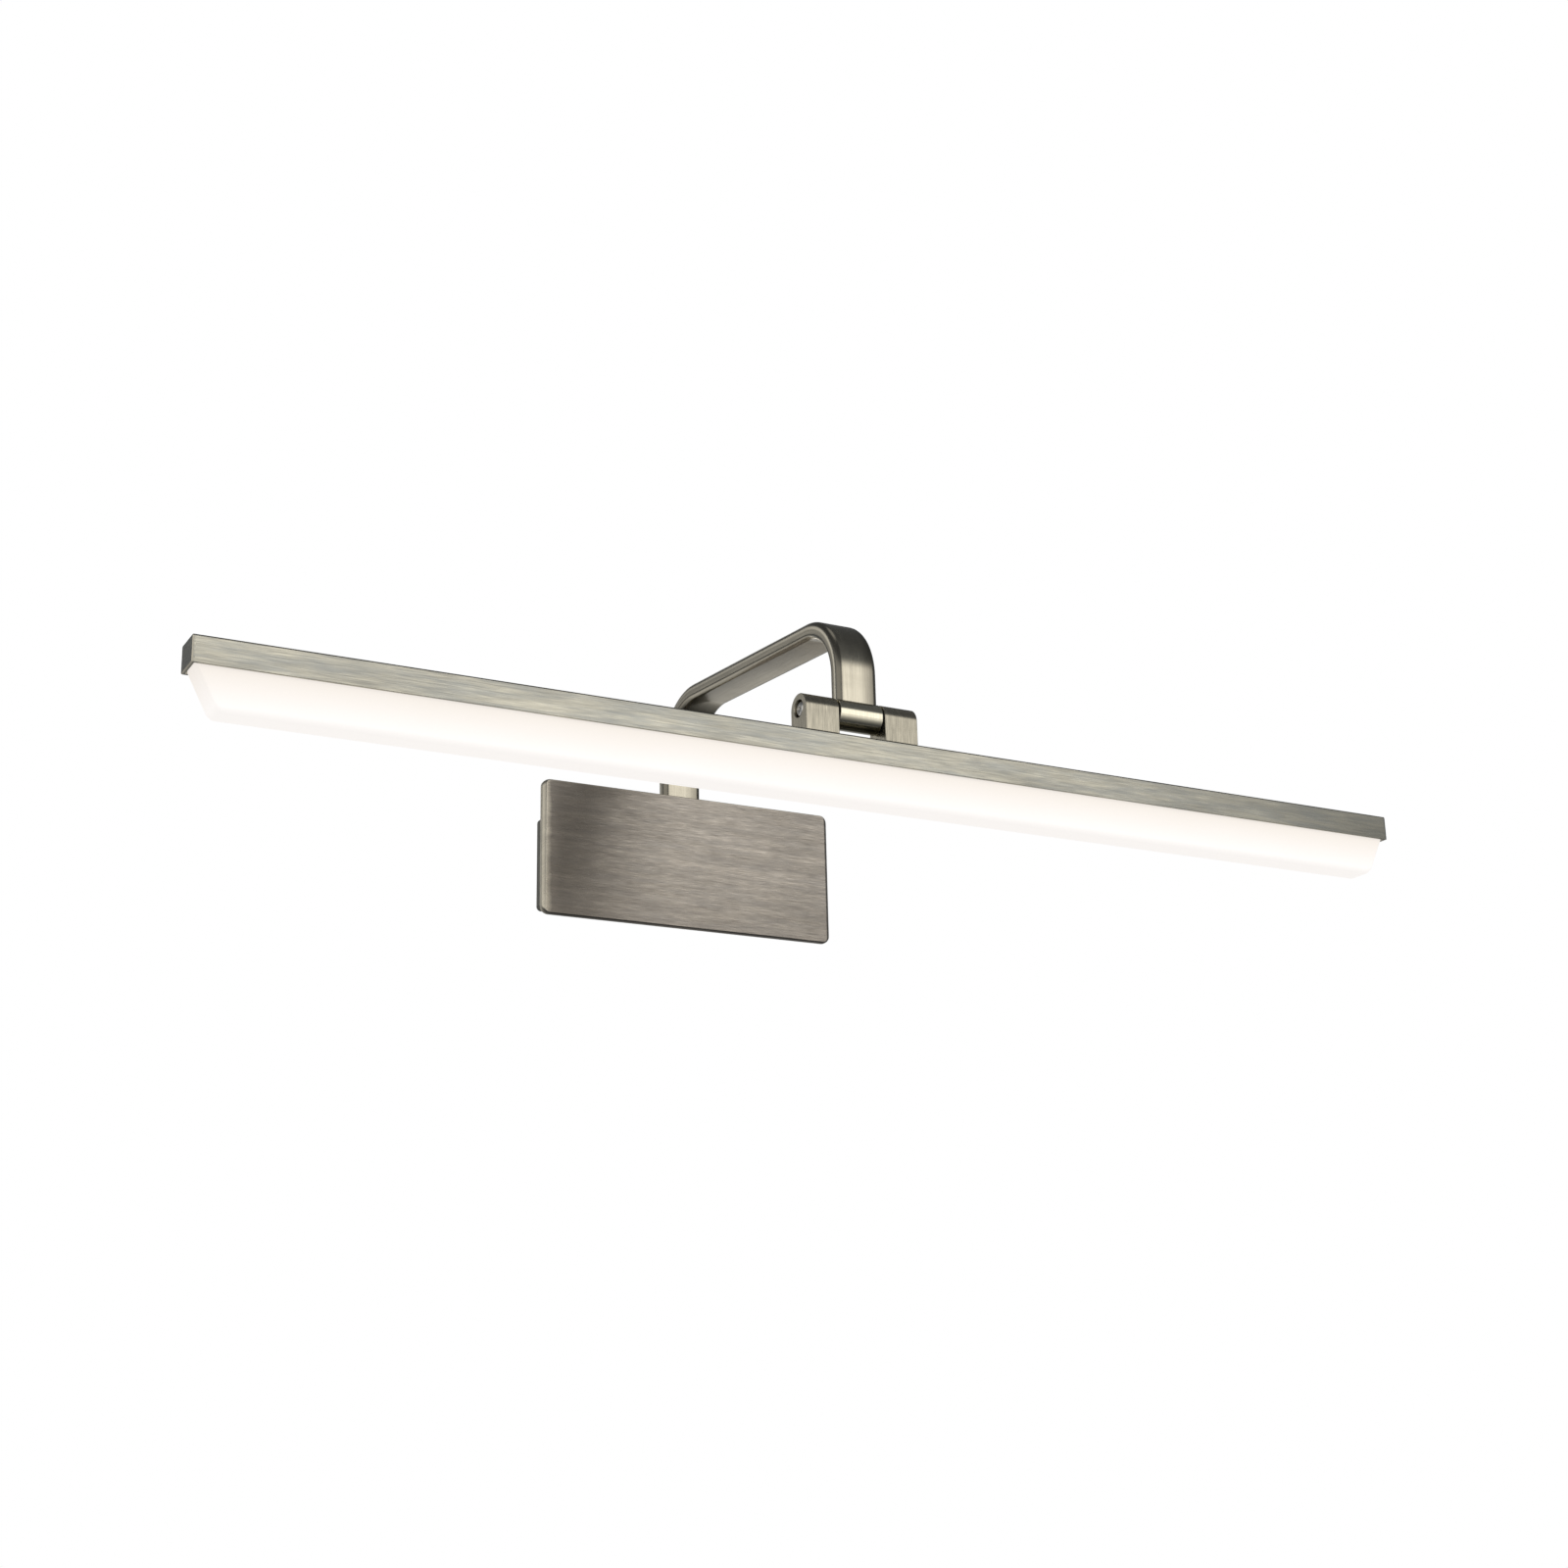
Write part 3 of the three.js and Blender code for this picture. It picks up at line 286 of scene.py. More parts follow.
def make_world():
    """White all round. Gloss mirrors a studio instead: a bright wall in front, a dimmer one to
    the left, a white sweep behind the lamp, a narrow strip light beside it and a panel right
    above, with little light between them."""
    world = bpy.data.worlds.new("studio")
    world.use_nodes = True
    bpy.context.scene.world = world
    graph = Graph("studio", world.node_tree)
    plain = world.node_tree.nodes["Background"]
    plain.inputs["Color"].default_value = (1, 1, 1, 1)
    x, y, z = graph.split(graph.node("TexCoord").outputs["Generated"])
    front = graph.product(
        graph.window(x, *FRONT_WALL_SIDES), graph.window(z, *FRONT_WALL_HEIGHTS),
        graph.spread(y, *FRONT_WALL_DEPTHS), FRONT_WALL_RADIANCE,
    )
    left = graph.product(
        graph.spread(x, *LEFT_WALL_SIDES), graph.window(z, *LEFT_WALL_HEIGHTS),
        graph.spread(y, *LEFT_WALL_DEPTHS), LEFT_WALL_RADIANCE,
    )
    behind = graph.product(
        graph.window(x, *SWEEP_SIDES), graph.spread(y, *SWEEP_DEPTHS), SWEEP_RADIANCE,
    )
    strip = graph.product(
        graph.window(x, *STRIP_SIDES), graph.window(z, *STRIP_HEIGHTS),
        graph.spread(y, *STRIP_DEPTHS), STRIP_RADIANCE,
    )
    zenith = graph.spread(z, *ZENITH_HEIGHTS, 0, ZENITH_RADIANCE)
    dim = graph.spread(z, *ROOM_HEIGHTS, ROOM_RADIANCE, OVERHEAD_RADIANCE)
    lit = graph.math("ADD", graph.math("ADD", front, left), graph.math("ADD", behind, strip))
    lit = graph.math("ADD", lit, zenith)
    room = graph.node("Background")
    tint = graph.blend(graph.spread(lit, 0.0, 0.5), COOL_WHITE, WARM_WHITE)
    graph.link(tint, room.inputs["Color"])
    graph.link(graph.math("ADD", lit, dim), room.inputs["Strength"])
    mix = graph.node("MixShader")
    graph.link(graph.node("LightPath").outputs["Is Glossy Ray"], mix.inputs[0])
    graph.link(plain.outputs[0], mix.inputs[1])
    graph.link(room.outputs[0], mix.inputs[2])
    graph.link(mix.outputs[0], world.node_tree.nodes["World Output"].inputs["Surface"])


def make_floor():
    """A pale floor. Gloss mirrors it dark beneath the lamp and brighter further away."""
    mesh = bpy.data.meshes.new("studio_floor")
    half = FLOOR_SIZE / 2
    corners = [(-half, -half), (half, -half), (half, half), (-half, half)]
    mesh.from_pydata([(x, y, -FLOOR_DROP) for x, y in corners], [], [(0, 1, 2, 3)])
    floor = bpy.data.objects.new("studio_floor", mesh)
    bpy.context.scene.collection.objects.link(floor)
    graph = Graph("studio_floor_paint")
    place = graph.object_place()
    pale = graph.blend(graph.noise(place, (400, 400, 400), 3), *FLOOR_PAINT)
    _, y, _ = graph.split(place)
    bright = graph.largest(graph.spread(y, *FLOOR_BEHIND), graph.spread(y, *FLOOR_AHEAD))
    mirrored = graph.blend(bright, FLOOR_MIRRORED_DARK, WARM_WHITE)
    gloss = graph.node("LightPath").outputs["Is Glossy Ray"]
    graph.colour(graph.blend(gloss, pale, mirrored))
    graph.set(Roughness=0.9)
    mesh.materials.append(graph.material)


make_world()
make_floor()
softbox("key_light", azimuth=27, elevation=24, distance=2.2, width=1.0, height=1.1,
        radiance=1.35, tint=(1.0, 0.985, 0.96))
bpy.context.scene.view_settings.view_transform = "Standard"

# ---------------------------------------------------------------- materials


# painted highlights on brass edges take this colour
PAINTED_HIGHLIGHT_BRASS = (0.86, 0.80, 0.66)
COOL_TONE = (0.86, 0.93, 1.06)      # each tone is a share of the metal's dark colour
PATINA_TONE = (0.62, 0.62, 0.62)
# painted shade takes this share of the dark colour
PAINTED_SHADE_TONE = (0.36, 0.36, 0.36)


def toned(colour, tone):
    return [channel * share for channel, share in zip(colour, tone)]


def brushed_metal(
    name, light, dark, roughness=0.3, anisotropy=0.6, patina=0.35, grain=(14, 0.5),
    clouds=(48, 20, 9), cool=0.0, painted_shade=None, painted_highlight=None,
):
    """Oxidised brass that is brushed back: fine streaks along the brush coordinates and clouds of darker patina,
    some of them bluish where cool is above 0. The highlight spreads across the brushing. Two functions of the
    place can give how much painted shade darkens the metal and how much painted highlight lightens it."""
    graph = Graph(name)
    brush = graph.brush_place()
    place = graph.object_place()
    fine = graph.noise(brush, (*grain, 1), 3, 0.65)
    band = graph.noise(brush, (grain[0] * 4, grain[1] * 5, 1), 2)
    cloud = graph.noise(place, clouds, 3, 0.55)
    streaks = graph.math(
        "ADD", graph.math("MULTIPLY", fine, 0.72), graph.math("MULTIPLY", band, 0.28),
    )
    metal = graph.blend(graph.spread(streaks, 0.37, 0.63), dark, light)
    if cool:
        tint = graph.spread(graph.noise(place, (26, 20, 3.2), 4, 0.65), 0.4, 0.64, 0, cool)
        metal = graph.blend(tint, metal, toned(dark, COOL_TONE))
    metal = graph.blend(graph.spread(cloud, 0.38, 0.7, 0, patina), metal, toned(dark, PATINA_TONE))
    # painted shade darkens the metal where the function of the place says
    if painted_shade:
        metal = graph.blend(painted_shade(graph, place), metal, toned(dark, PAINTED_SHADE_TONE))
    # painted highlights lighten the metal where the function of the place says
    if painted_highlight:
        metal = graph.blend(painted_highlight(graph, place), metal, PAINTED_HIGHLIGHT_BRASS)
    graph.colour(metal)
    graph.roughness(fine, roughness + 0.05, roughness - 0.05)
    tangent = graph.node("Tangent", direction_type="UV_MAP", uv_map="brush")
    graph.link(tangent.outputs[0], graph.shader.inputs["Tangent"])
    graph.bump(fine, 0.2, 0.015)
    graph.set(Metallic=1.0, Anisotropic=anisotropy, Anisotropic_Rotation=0.25)
    return graph.material


# The painted shade and painted highlights are placed in millimetres. A spread gives where one begins and ends
# along an axis and how strong it is at either end.


def plate_painted_shade(graph, place):
    """Painted shade on the cover plate: darkest in an upright zone on its left, most so towards the top, and
    darker again a little towards its right edge."""
    x, _, z = graph.split(place)
    zone = graph.window(graph.wander(x, place, (40, 40, 16), 3, 16), *mm(-71, -54, -43, 2))
    left = graph.math("MULTIPLY", zone, graph.spread(z, *mm(-34, 20), 0.5, 0.7))
    right = graph.spread(x, *mm(30, 56), 0, 0.13)
    return graph.largest(left, right)


def plate_painted_highlight(graph, place):
    """Painted highlights along the cover plate's edges: an uneven band on its left edge, weaker ones on its right
    and top edges.
    """
    x, _, z = graph.split(place)
    left = graph.spread(graph.wander(x, place, (30, 30, 9), 2, 4), *mm(-67.6, -63.8), 0.85, 0)
    right = graph.spread(x, *mm(68.6, 69.8), 0, 0.5)
    above = graph.spread(z, *mm(29.0, 29.9), 0, 0.4)
    return graph.largest(left, right, above)


def arm_painted_shade(graph, place):
    """Painted shade on the arm along both narrow sides and, unevenly, over its front bend. Under its sloping run
    this painted shade fades from left to right."""
    x, y, z = graph.split(place)
    left = graph.spread(x, *mm(-7.2, -6.7), 0.8, 0)
    right = graph.spread(x, *mm(1.0, 6.8), 0, 0.96)
    height = graph.math("ADD", graph.wander(z, place, (5, 9, 12), 3, 12),
                        graph.math("MULTIPLY", x, 0.3))
    bend = graph.math("MULTIPLY", graph.spread(height, *mm(51, 60), 0, 0.6),
                      graph.spread(y, HINGE.y + 10 * MM, HINGE.y + 30 * MM, 1, 0))
    around = graph.split(graph.brush_place())[1]
    under = graph.math("MULTIPLY", graph.window(around, *mm(3.2, 3.8, 17, 17.6)),
                       graph.window(y, *mm(-150, -130, -24, -14)))
    usual = graph.product(
        graph.largest(left, right, bend), graph.math("SUBTRACT", 1, under),
    )
    faded = graph.math("MULTIPLY", graph.spread(x, *mm(-7, 4.5), 0.8, 0), under)
    return graph.math("ADD", usual, faded)


def arm_painted_highlight(graph, place):
    """A narrow painted highlight runs along the arm's left side, brightest near the hinge, and another along its
    lower edge."""
    _, y, z = graph.split(place)
    around = graph.split(graph.brush_place())[1]
    line = graph.math("MULTIPLY", graph.window(around, *mm(42.8, 43.4, 44.1, 44.7)),
                      graph.spread(z, *mm(34, 56), 0.95, 0.5))
    lower = graph.math("MULTIPLY", graph.window(around, *mm(0.9, 1.5, 2.5, 3.2)),
                       graph.spread(y, *mm(-34, -22), 0.85, 0))
    return graph.largest(line, lower)


def bar_painted_shade(graph, place):
    """Painted shade on the bar: on its roof, on its end faces and towards its right end."""
    x, _, z = graph.split(place)
    ends = graph.spread(graph.math("ABSOLUTE", x, 0), *mm(262.38, 262.48), 0, 0.4)
    right_rim = graph.spread(x, *mm(261.7, 262.1), 0, 0.6)
    right = graph.spread(x, *mm(190, 260), 0, 0.36)
    roof = graph.spread(z, *mm(9.6, 10.1), 0, 0.55)
    return graph.largest(ends, right_rim, right, roof)


def bar_painted_highlight(graph, place):
    """A painted highlight along the rim of the left end cap, except on the roof."""
    x, _, z = graph.split(place)
    rim = graph.window(x, *mm(-262.47, -262.4, -262.0, -261.85))
    return graph.math("MULTIPLY", rim, graph.spread(z, *mm(9.6, 10.1), 0.95, 0))


def barrel_painted_shade(graph, place):
    """Painted shade: the hinge barrel is darker underneath."""
    _, _, z = graph.split(place)
    return graph.spread(z, *mm(15.0, 18.5), 0.85, 0)


def plated_metal(name, light, dark, roughness, mottle):
    """Plated or turned metal without a brush direction: faint mottling and a fine grain."""
    graph = Graph(name)
    place = graph.object_place()
    cloud = graph.noise(place, (mottle,) * 3, 3, 0.6)
    fine = graph.noise(place, (0.25,) * 3, 2)
    graph.colour(graph.blend(graph.spread(cloud, 0.35, 0.65), dark, light))
    graph.roughness(cloud, roughness + 0.08, roughness - 0.04)
    graph.bump(fine, 0.15, 0.02)
    graph.set(Metallic=1.0)
    return graph.material


def moulded(name, light, dark, roughness, grain=0.3, depth=0.03):
    """Moulded plastic or rubber: slight clouds in the colour and a spark-eroded grain."""
    graph = Graph(name)
    place = graph.object_place()
    cloud = graph.noise(place, (9, 9, 9), 3)
    fine = graph.noise(place, (grain,) * 3, 2, 0.6)
    graph.colour(graph.blend(graph.spread(cloud, 0.3, 0.7), dark, light))
    graph.roughness(fine, roughness + 0.07, roughness - 0.07)
    graph.bump(fine, 0.3, depth)
    return graph.material


def lit_opal(name):
    """Satin opal acrylic, lit from inside, with painted shade close to its rim: warmer and a little darker there.
    """
    graph = Graph(name)
    place = graph.object_place()
    _, _, z = graph.split(place)
    fine = graph.noise(place, (0.35,) * 3, 2)
    near_rim = graph.spread(graph.wander(z, place, (30, 30, 12), 2, 2), *mm(-13, 1))
    graph.colour(graph.blend(near_rim, (0.33, 0.33, 0.33), (0.21, 0.17, 0.115)))
    graph.roughness(fine, 0.5, 0.42)
    graph.bump(fine, 0.1, 0.02)
    graph.set(Emission_Color=(1.0, 0.955, 0.92, 1), Emission_Strength=0.74)
    return graph.material


def printed_board(name, mask, trace, pitch):
    """A circuit board's solder mask with traces showing through it, pitch millimetres apart."""
    graph = Graph(name)
    place = graph.object_place()
    cells = graph.node("TexVoronoi", feature="DISTANCE_TO_EDGE", distance="CHEBYCHEV")
    cells.inputs["Scale"].default_value = 1.0
    graph.link(graph.scaled(place, (pitch,) * 3), cells.inputs["Vector"])
    line = graph.spread(cells.outputs["Distance"], 0.06, 0.1, 1, 0)
    fine = graph.noise(place, (0.4,) * 3, 2)
    graph.colour(graph.blend(line, mask, trace))
    graph.roughness(fine, 0.42, 0.3)
    graph.bump(line, 0.3, 0.05)
    return graph.material


# every finish as its maker and the maker's own settings
FINISHES = {
    # the cover plate's brass is set darker than the bar's, as painted shade for the bar's shadow on the plate
    "brushed_brass_plate": (brushed_metal, dict(
        light=(0.545, 0.495, 0.432), dark=(0.28, 0.252, 0.221), patina=0.4, grain=(8, 0.32),
        clouds=(70, 20, 5), cool=0.35, painted_shade=plate_painted_shade, painted_highlight=plate_painted_highlight)),
    "brushed_brass_channel": (brushed_metal, dict(
        light=(0.67, 0.64, 0.533), dark=(0.42, 0.406, 0.352), cool=0.6, painted_shade=bar_painted_shade,
        painted_highlight=bar_painted_highlight)),
    "brushed_brass_arm": (brushed_metal, dict(
        light=(0.70, 0.65, 0.53), dark=(0.61, 0.565, 0.46), roughness=0.23, anisotropy=0.35,
        grain=(18, 0.6), painted_shade=arm_painted_shade, painted_highlight=arm_painted_highlight)),
    "brushed_brass_hinge": (brushed_metal, dict(
        light=(0.59, 0.545, 0.44), dark=(0.37, 0.345, 0.28), roughness=0.26, grain=(9, 0.4))),
    "turned_brass": (brushed_metal, dict(
        light=(0.92, 0.87, 0.70), dark=(0.80, 0.75, 0.60), roughness=0.14, anisotropy=0.2,
        patina=0.15, painted_shade=barrel_painted_shade)),
    "box_dark_brass": (brushed_metal, dict(
        light=(0.30, 0.29, 0.255), dark=(0.21, 0.205, 0.185), roughness=0.38, anisotropy=0.4)),
    "zinc_steel": (plated_metal, dict(
        light=(0.64, 0.65, 0.67), dark=(0.52, 0.53, 0.55), roughness=0.32, mottle=4)),
    "nickel_screw": (plated_metal, dict(
        light=(0.88, 0.86, 0.82), dark=(0.74, 0.72, 0.68), roughness=0.2, mottle=2)),
    "raw_brass": (plated_metal, dict(
        light=(0.78, 0.62, 0.33), dark=(0.66, 0.50, 0.25), roughness=0.3, mottle=3)),
    "opal_diffuser": (lit_opal, {}),
    "led_board_white": (printed_board, dict(
        mask=(0.86, 0.86, 0.84), trace=(0.74, 0.75, 0.74), pitch=5)),
    "circuit_board_green": (printed_board, dict(
        mask=(0.03, 0.17, 0.07), trace=(0.06, 0.27, 0.12), pitch=2.5)),
    "white_nylon": (moulded, dict(
        light=(0.86, 0.85, 0.82), dark=(0.80, 0.79, 0.75), roughness=0.48)),
    "black_plastic": (moulded, dict(
        light=(0.032, 0.032, 0.034), dark=(0.02, 0.02, 0.021), roughness=0.5)),
    "transformer_core": (plated_metal, dict(
        light=(0.16, 0.16, 0.17), dark=(0.09, 0.09, 0.1), roughness=0.55, mottle=3)),
    "grommet_rubber": (moulded, dict(
        light=(0.04, 0.04, 0.041), dark=(0.025, 0.025, 0.026), roughness=0.72, grain=0.4,
        depth=0.06)),
    "wire_brown": (moulded, dict(
        light=(0.20, 0.085, 0.04), dark=(0.15, 0.06, 0.03), roughness=0.42)),
    "wire_blue": (moulded, dict(
        light=(0.04, 0.13, 0.42), dark=(0.03, 0.1, 0.33), roughness=0.42)),
    "lead_black": (moulded, dict(
        light=(0.035, 0.035, 0.036), dark=(0.022, 0.022, 0.023), roughness=0.45)),
}
MATERIALS = {name: maker(name, **settings) for name, (maker, settings) in FINISHES.items()}

# ---------------------------------------------------------------- mesh helpers

SMOOTH_ANGLE = 32              # degrees
ROUNDED_SMOOTH_ANGLE = 40      # for pieces with rounded edges
ON_AXIS = 1e-9                 # a turned profile's smaller radii are points on the axis
SIDEWAYS = 0.99                # cosine from which a wall counts as facing left or right


def rounded(corners, steps=5):
    """Points of a closed outline through corners (a, b, radius), anticlockwise, each rounded."""
    points = []
    for index, (a, b, radius) in enumerate(corners):
        here = Vector((a, b))
        before = (Vector(corners[index - 1][:2]) - here).normalized()
        after = (Vector(corners[(index + 1) % len(corners)][:2]) - here).normalized()
        if not radius:
            points.append(here)
            continue
        half = before.angle(after) / 2
        middle = here + (before + after).normalized() * (radius / math.sin(half))
        start = here + before * (radius / math.tan(half)) - middle
        side = 1 if before.x * after.y - before.y * after.x < 0 else -1
        for step in range(steps + 1):
            turn = Matrix.Rotation(side * (math.pi - 2 * half) * step / steps, 2)
            points.append(middle + turn @ start)
    return points


def rounded_box(width, height, radius, steps=6):
    a, b = width / 2, height / 2
    return rounded([(-a, -b, radius), (a, -b, radius), (a, b, radius), (-a, b, radius)], steps)


def arc(middle_a, middle_b, radius, start, end, steps):
    """Points (a, b) of an arc from angle start to end, in degrees."""
    angles = [math.radians(start + (end - start) * step / steps) for step in range(steps + 1)]
    return [(middle_a + radius * math.cos(t), middle_b + radius * math.sin(t)) for t in angles]


def lengths(points, closed=True):
    """Distance run at each point, with one more value at the end where the outline closes."""
    run = [0.0]
    following = list(points[1:]) + ([points[0]] if closed else [])
    for here, after in zip(points, following):
        run.append(run[-1] + (Vector(after) - Vector(here)).length)
    return run


def towards(axis, origin):
    """A placing function: a and b lie across the axis and t runs along it from origin."""
    across = {"x": (Y, Z), "y": (X, Z), "z": (X, Y)}[axis[-1]]
    along = {"x": X, "y": Y, "z": Z}[axis[-1]] * (-1 if axis[0] == "-" else 1)
    start = Vector(origin)
    return lambda a, b, t: start + across[0] * a + across[1] * b + along * t


class Skin:
    """Points and faces of one closed piece. Each face corner has brush coordinates in metres:
    the first runs along the brushing and the second across it."""

    def __init__(self):
        self.points = []
        self.faces = []
        self.brush = []

    def ring(self, points):
        first = len(self.points)
        self.points.extend(Vector(p) for p in points)
        return list(range(first, len(self.points)))

    def face(self, corners, brush):
        """A face without its doubled corners, or none if fewer than three are left."""
        kept = [i for i, corner in enumerate(corners) if corner not in corners[:i]]
        if len(kept) > 2:
            self.faces.append([corners[i] for i in kept])
            self.brush.append([brush[i] for i in kept])

    def band(self, one, other, run_one, run_other, around, closed=True, brush_around=False):
        """Faces between two rings, run_one and run_other apart along the sweep."""
        for i in range(len(one) if closed else len(one) - 1):
            j = (i + 1) % len(one)
            brush = [(run_one, around[i]), (run_one, around[i + 1]),
                     (run_other, around[i + 1]), (run_other, around[i])]
            if brush_around:
                brush = [(b, a) for a, b in brush]
            self.face([one[i], one[j], other[j], other[i]], brush)

    def lid(self, ring, along, across):
        self.face(ring, [(self.points[i].dot(along), self.points[i].dot(across)) for i in ring])

    def build(self, name, smooth_angle=SMOOTH_ANGLE):
        mesh = bpy.data.meshes.new(name)
        mesh.from_pydata(self.points, [], self.faces)
        layer = mesh.uv_layers.new(name="brush")
        for polygon, brush in zip(mesh.polygons, self.brush):
            for loop, place in zip(polygon.loop_indices, brush):
                layer.data[loop].uv = place
        tidy(mesh, smooth_angle)
        piece = bpy.data.objects.new(name, mesh)
        bpy.context.scene.collection.objects.link(piece)
        return piece


def tidy(mesh, smooth_angle):
    """Turns all faces outward and shades the mesh smooth up to an angle in degrees."""
    form = bmesh.new()
    form.from_mesh(mesh)
    bmesh.ops.recalc_face_normals(form, faces=form.faces)
    form.to_mesh(mesh)
    form.free()
    mesh.polygons.foreach_set("use_smooth", [True] * len(mesh.polygons))
    mesh.set_sharp_from_angle(angle=math.radians(smooth_angle))


def prism(name, outline, place, start, end, brush_around=False, lid_brush=None):
    """An outline of (a, b) swept from start to end and closed at both. The walls are brushed
    along the sweep or around it, and the ends along a, or along b if lid_brush says so."""
    skin = Skin()
    around = lengths(outline)
    near = skin.ring(place(a, b, start) for a, b in outline)
    far = skin.ring(place(a, b, end) for a, b in outline)
    skin.band(near, far, start, end, around, brush_around=brush_around)
    along = place(1, 0, 0) - place(0, 0, 0)
    across = place(0, 1, 0) - place(0, 0, 0)
    if lid_brush == "b":
        along, across = across, along
    skin.lid(near[::-1], along, across)
    skin.lid(far, along, across)
    return skin.build(name)


def lathe(name, profile, place, sides=64):
    """A profile of (radius, height) turned about the placing function's axis. It starts and
    ends on the axis, or closes on itself."""
    skin = Skin()
    angles = [2 * math.pi * side / sides for side in range(sides)]
    widest = max(radius for radius, _ in profile)
    around = [2 * math.pi * side / sides * widest for side in range(sides + 1)]
    run = lengths(profile)
    rings = []
    for radius, height in profile:
        if radius < ON_AXIS:
            rings.append(skin.ring([place(0, 0, height)]) * sides)
        else:
            circle = [(radius * math.cos(t), radius * math.sin(t)) for t in angles]
            rings.append(skin.ring(place(a, b, height) for a, b in circle))
    on_axis = profile[0][0] < ON_AXIS
    for index in range(len(rings) - (1 if on_axis else 0)):
        after = (index + 1) % len(rings)
        skin.band(rings[index], rings[after], run[index], run[index + 1], around, brush_around=True)
    return skin.build(name)


def shell(name, loops, place, lid_axes):
    """Outlines (points, t) joined one after another from a first lid to a last one. The walls
    are brushed along X, and those that face left or right are brushed upright."""
    skin = Skin()
    rings = [skin.ring(place(a, b, t) for a, b in points) for points, t in loops]
    skin.lid(rings[0], *lid_axes)
    for index in range(len(rings) - 1):
        one, other = rings[index], rings[index + 1]
        for i in range(len(one)):
            j = (i + 1) % len(one)
            quad = [one[i], one[j], other[j], other[i]]
            spots = [skin.points[k] for k in quad]
            facing = (spots[2] - spots[0]).cross(spots[3] - spots[1])
            if abs(facing.x) > SIDEWAYS * facing.length:
                brush = [(spot.z, spot.y) for spot in spots]
            else:
                brush = [(spot.x, spot.z + spot.y) for spot in spots]
            skin.face(quad, brush)
    skin.lid(rings[-1], *lid_axes)
    return skin.build(name)


def settle(piece):
    """Turns what the modifiers make into the piece's own mesh."""
    depsgraph = bpy.context.evaluated_depsgraph_get()
    shaped = piece.evaluated_get(depsgraph)
    mesh = bpy.data.meshes.new_from_object(
        shaped, preserve_all_data_layers=True, depsgraph=depsgraph,
    )
    piece.modifiers.clear()
    old = piece.data
    piece.data = mesh
    mesh.name = piece.name
    bpy.data.meshes.remove(old)
    return piece


def cut(piece, *cutters):
    """Takes the cutters out of the piece and deletes them."""
    for cutter in cutters:
        modifier = piece.modifiers.new("cut", "BOOLEAN")
        modifier.operation = "DIFFERENCE"
        modifier.solver = "EXACT"
        modifier.object = cutter
    settle(piece)
    for cutter in cutters:
        mesh = cutter.data
        bpy.data.objects.remove(cutter)
        bpy.data.meshes.remove(mesh)
    return piece


def soften(piece, width, segments=3, angle=40):
    """Rounds the edges sharper than an angle in degrees, width in millimetres."""
    modifier = piece.modifiers.new("rounded_edges", "BEVEL")
    modifier.width = width * MM
    modifier.segments = segments
    modifier.limit_method = "ANGLE"
    modifier.angle_limit = math.radians(angle)
    modifier.miter_outer = "MITER_ARC"
    settle(piece)
    tidy(piece.data, ROUNDED_SMOOTH_ANGLE)
    return piece


def finish_piece(piece, body, slot, *nodes, material=None):
    """Gives the piece its finish, its body and the CAD nodes that it stands for. Its large
    faces keep their own normals, so that they mirror like flat sheet."""
    modifier = piece.modifiers.new("flat_faces", "WEIGHTED_NORMAL")
    modifier.mode = "FACE_AREA"
    modifier.weight = 100
    modifier.keep_sharp = True
    settle(piece)
    piece.data.materials.clear()
    piece.data.materials.append(MATERIALS[material or slot])
    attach(piece, body)
    if nodes:
        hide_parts(*nodes)
    return piece


# ---------------------------------------------------------------- cover plate and wall box

WALL, HEAD = "wall_mount", "lamp_head"
SHEET = 1.2 * MM
PLATE_EDGE = 2.0 * MM
PLATE_FLAT_EDGE = 0.6 * MM
PLATE_CORNER = 3.6 * MM
PLATE_DEPTH = 3.2 * MM
STUDS = [(-45, 11.5), (45, 11.5), (0, -17)]    # X and Z in millimetres
STUD_RADIUS = 1.95 * MM
STUD_CORE = 1.66 * MM
STUD_PITCH = 0.7 * MM
STUD_WELD_RADIUS = 2.6 * MM
BOX_CORNER = 2.0 * MM
BOX_EDGE = 0.6 * MM
POST_SLOT = mm(18.5, 7.5, 2.6)                 # width, depth and corner radius


def tray_loops(width, height, corner, edge, sheet, depth, floor, flat_edge=None):
    """Outlines of a tray from its front face round the edge, along its inside and back to the
    inner face: depth is the rear lip and floor the inner face, both from the front. The top
    and bottom edges are flatter where flat_edge is given."""
    lip = 0.3 * MM
    inner = 0.7 * MM
    front = [(edge - edge * math.sin(t), edge - edge * math.cos(t)) for t in quarter(6)]
    stations = front + [(0, depth - lip), (lip * 0.3, depth - lip * 0.3), (lip, depth)]
    stations += [(sheet - lip, depth), (sheet - lip * 0.3, depth - lip * 0.3), (sheet, depth - lip)]
    stations += [(sheet + inner - inner * math.cos(t), floor + inner - inner * math.sin(t))
                 for t in quarter(4)]
    loops = []
    for index, (inset, t) in enumerate(stations):
        share = (flat_edge or edge) / edge if index < len(front) else 1
        outline = rounded_box(
            width - 2 * inset, height - 2 * inset * share, max(corner - inset, 0.15 * MM),
        )
        loops.append((outline, t))
    return loops


def cover_plate():
    low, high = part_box("front_panel")
    place = towards("y", (0, low.y, (low.z + high.z) / 2))
    width, height = high.x - low.x, high.z - low.z - 0.01 * MM
    loops = tray_loops(
        width, height, PLATE_CORNER, PLATE_EDGE, SHEET, PLATE_DEPTH, SHEET, PLATE_FLAT_EDGE,
    )
    return shell("cover_plate", loops, place, (X, Z))


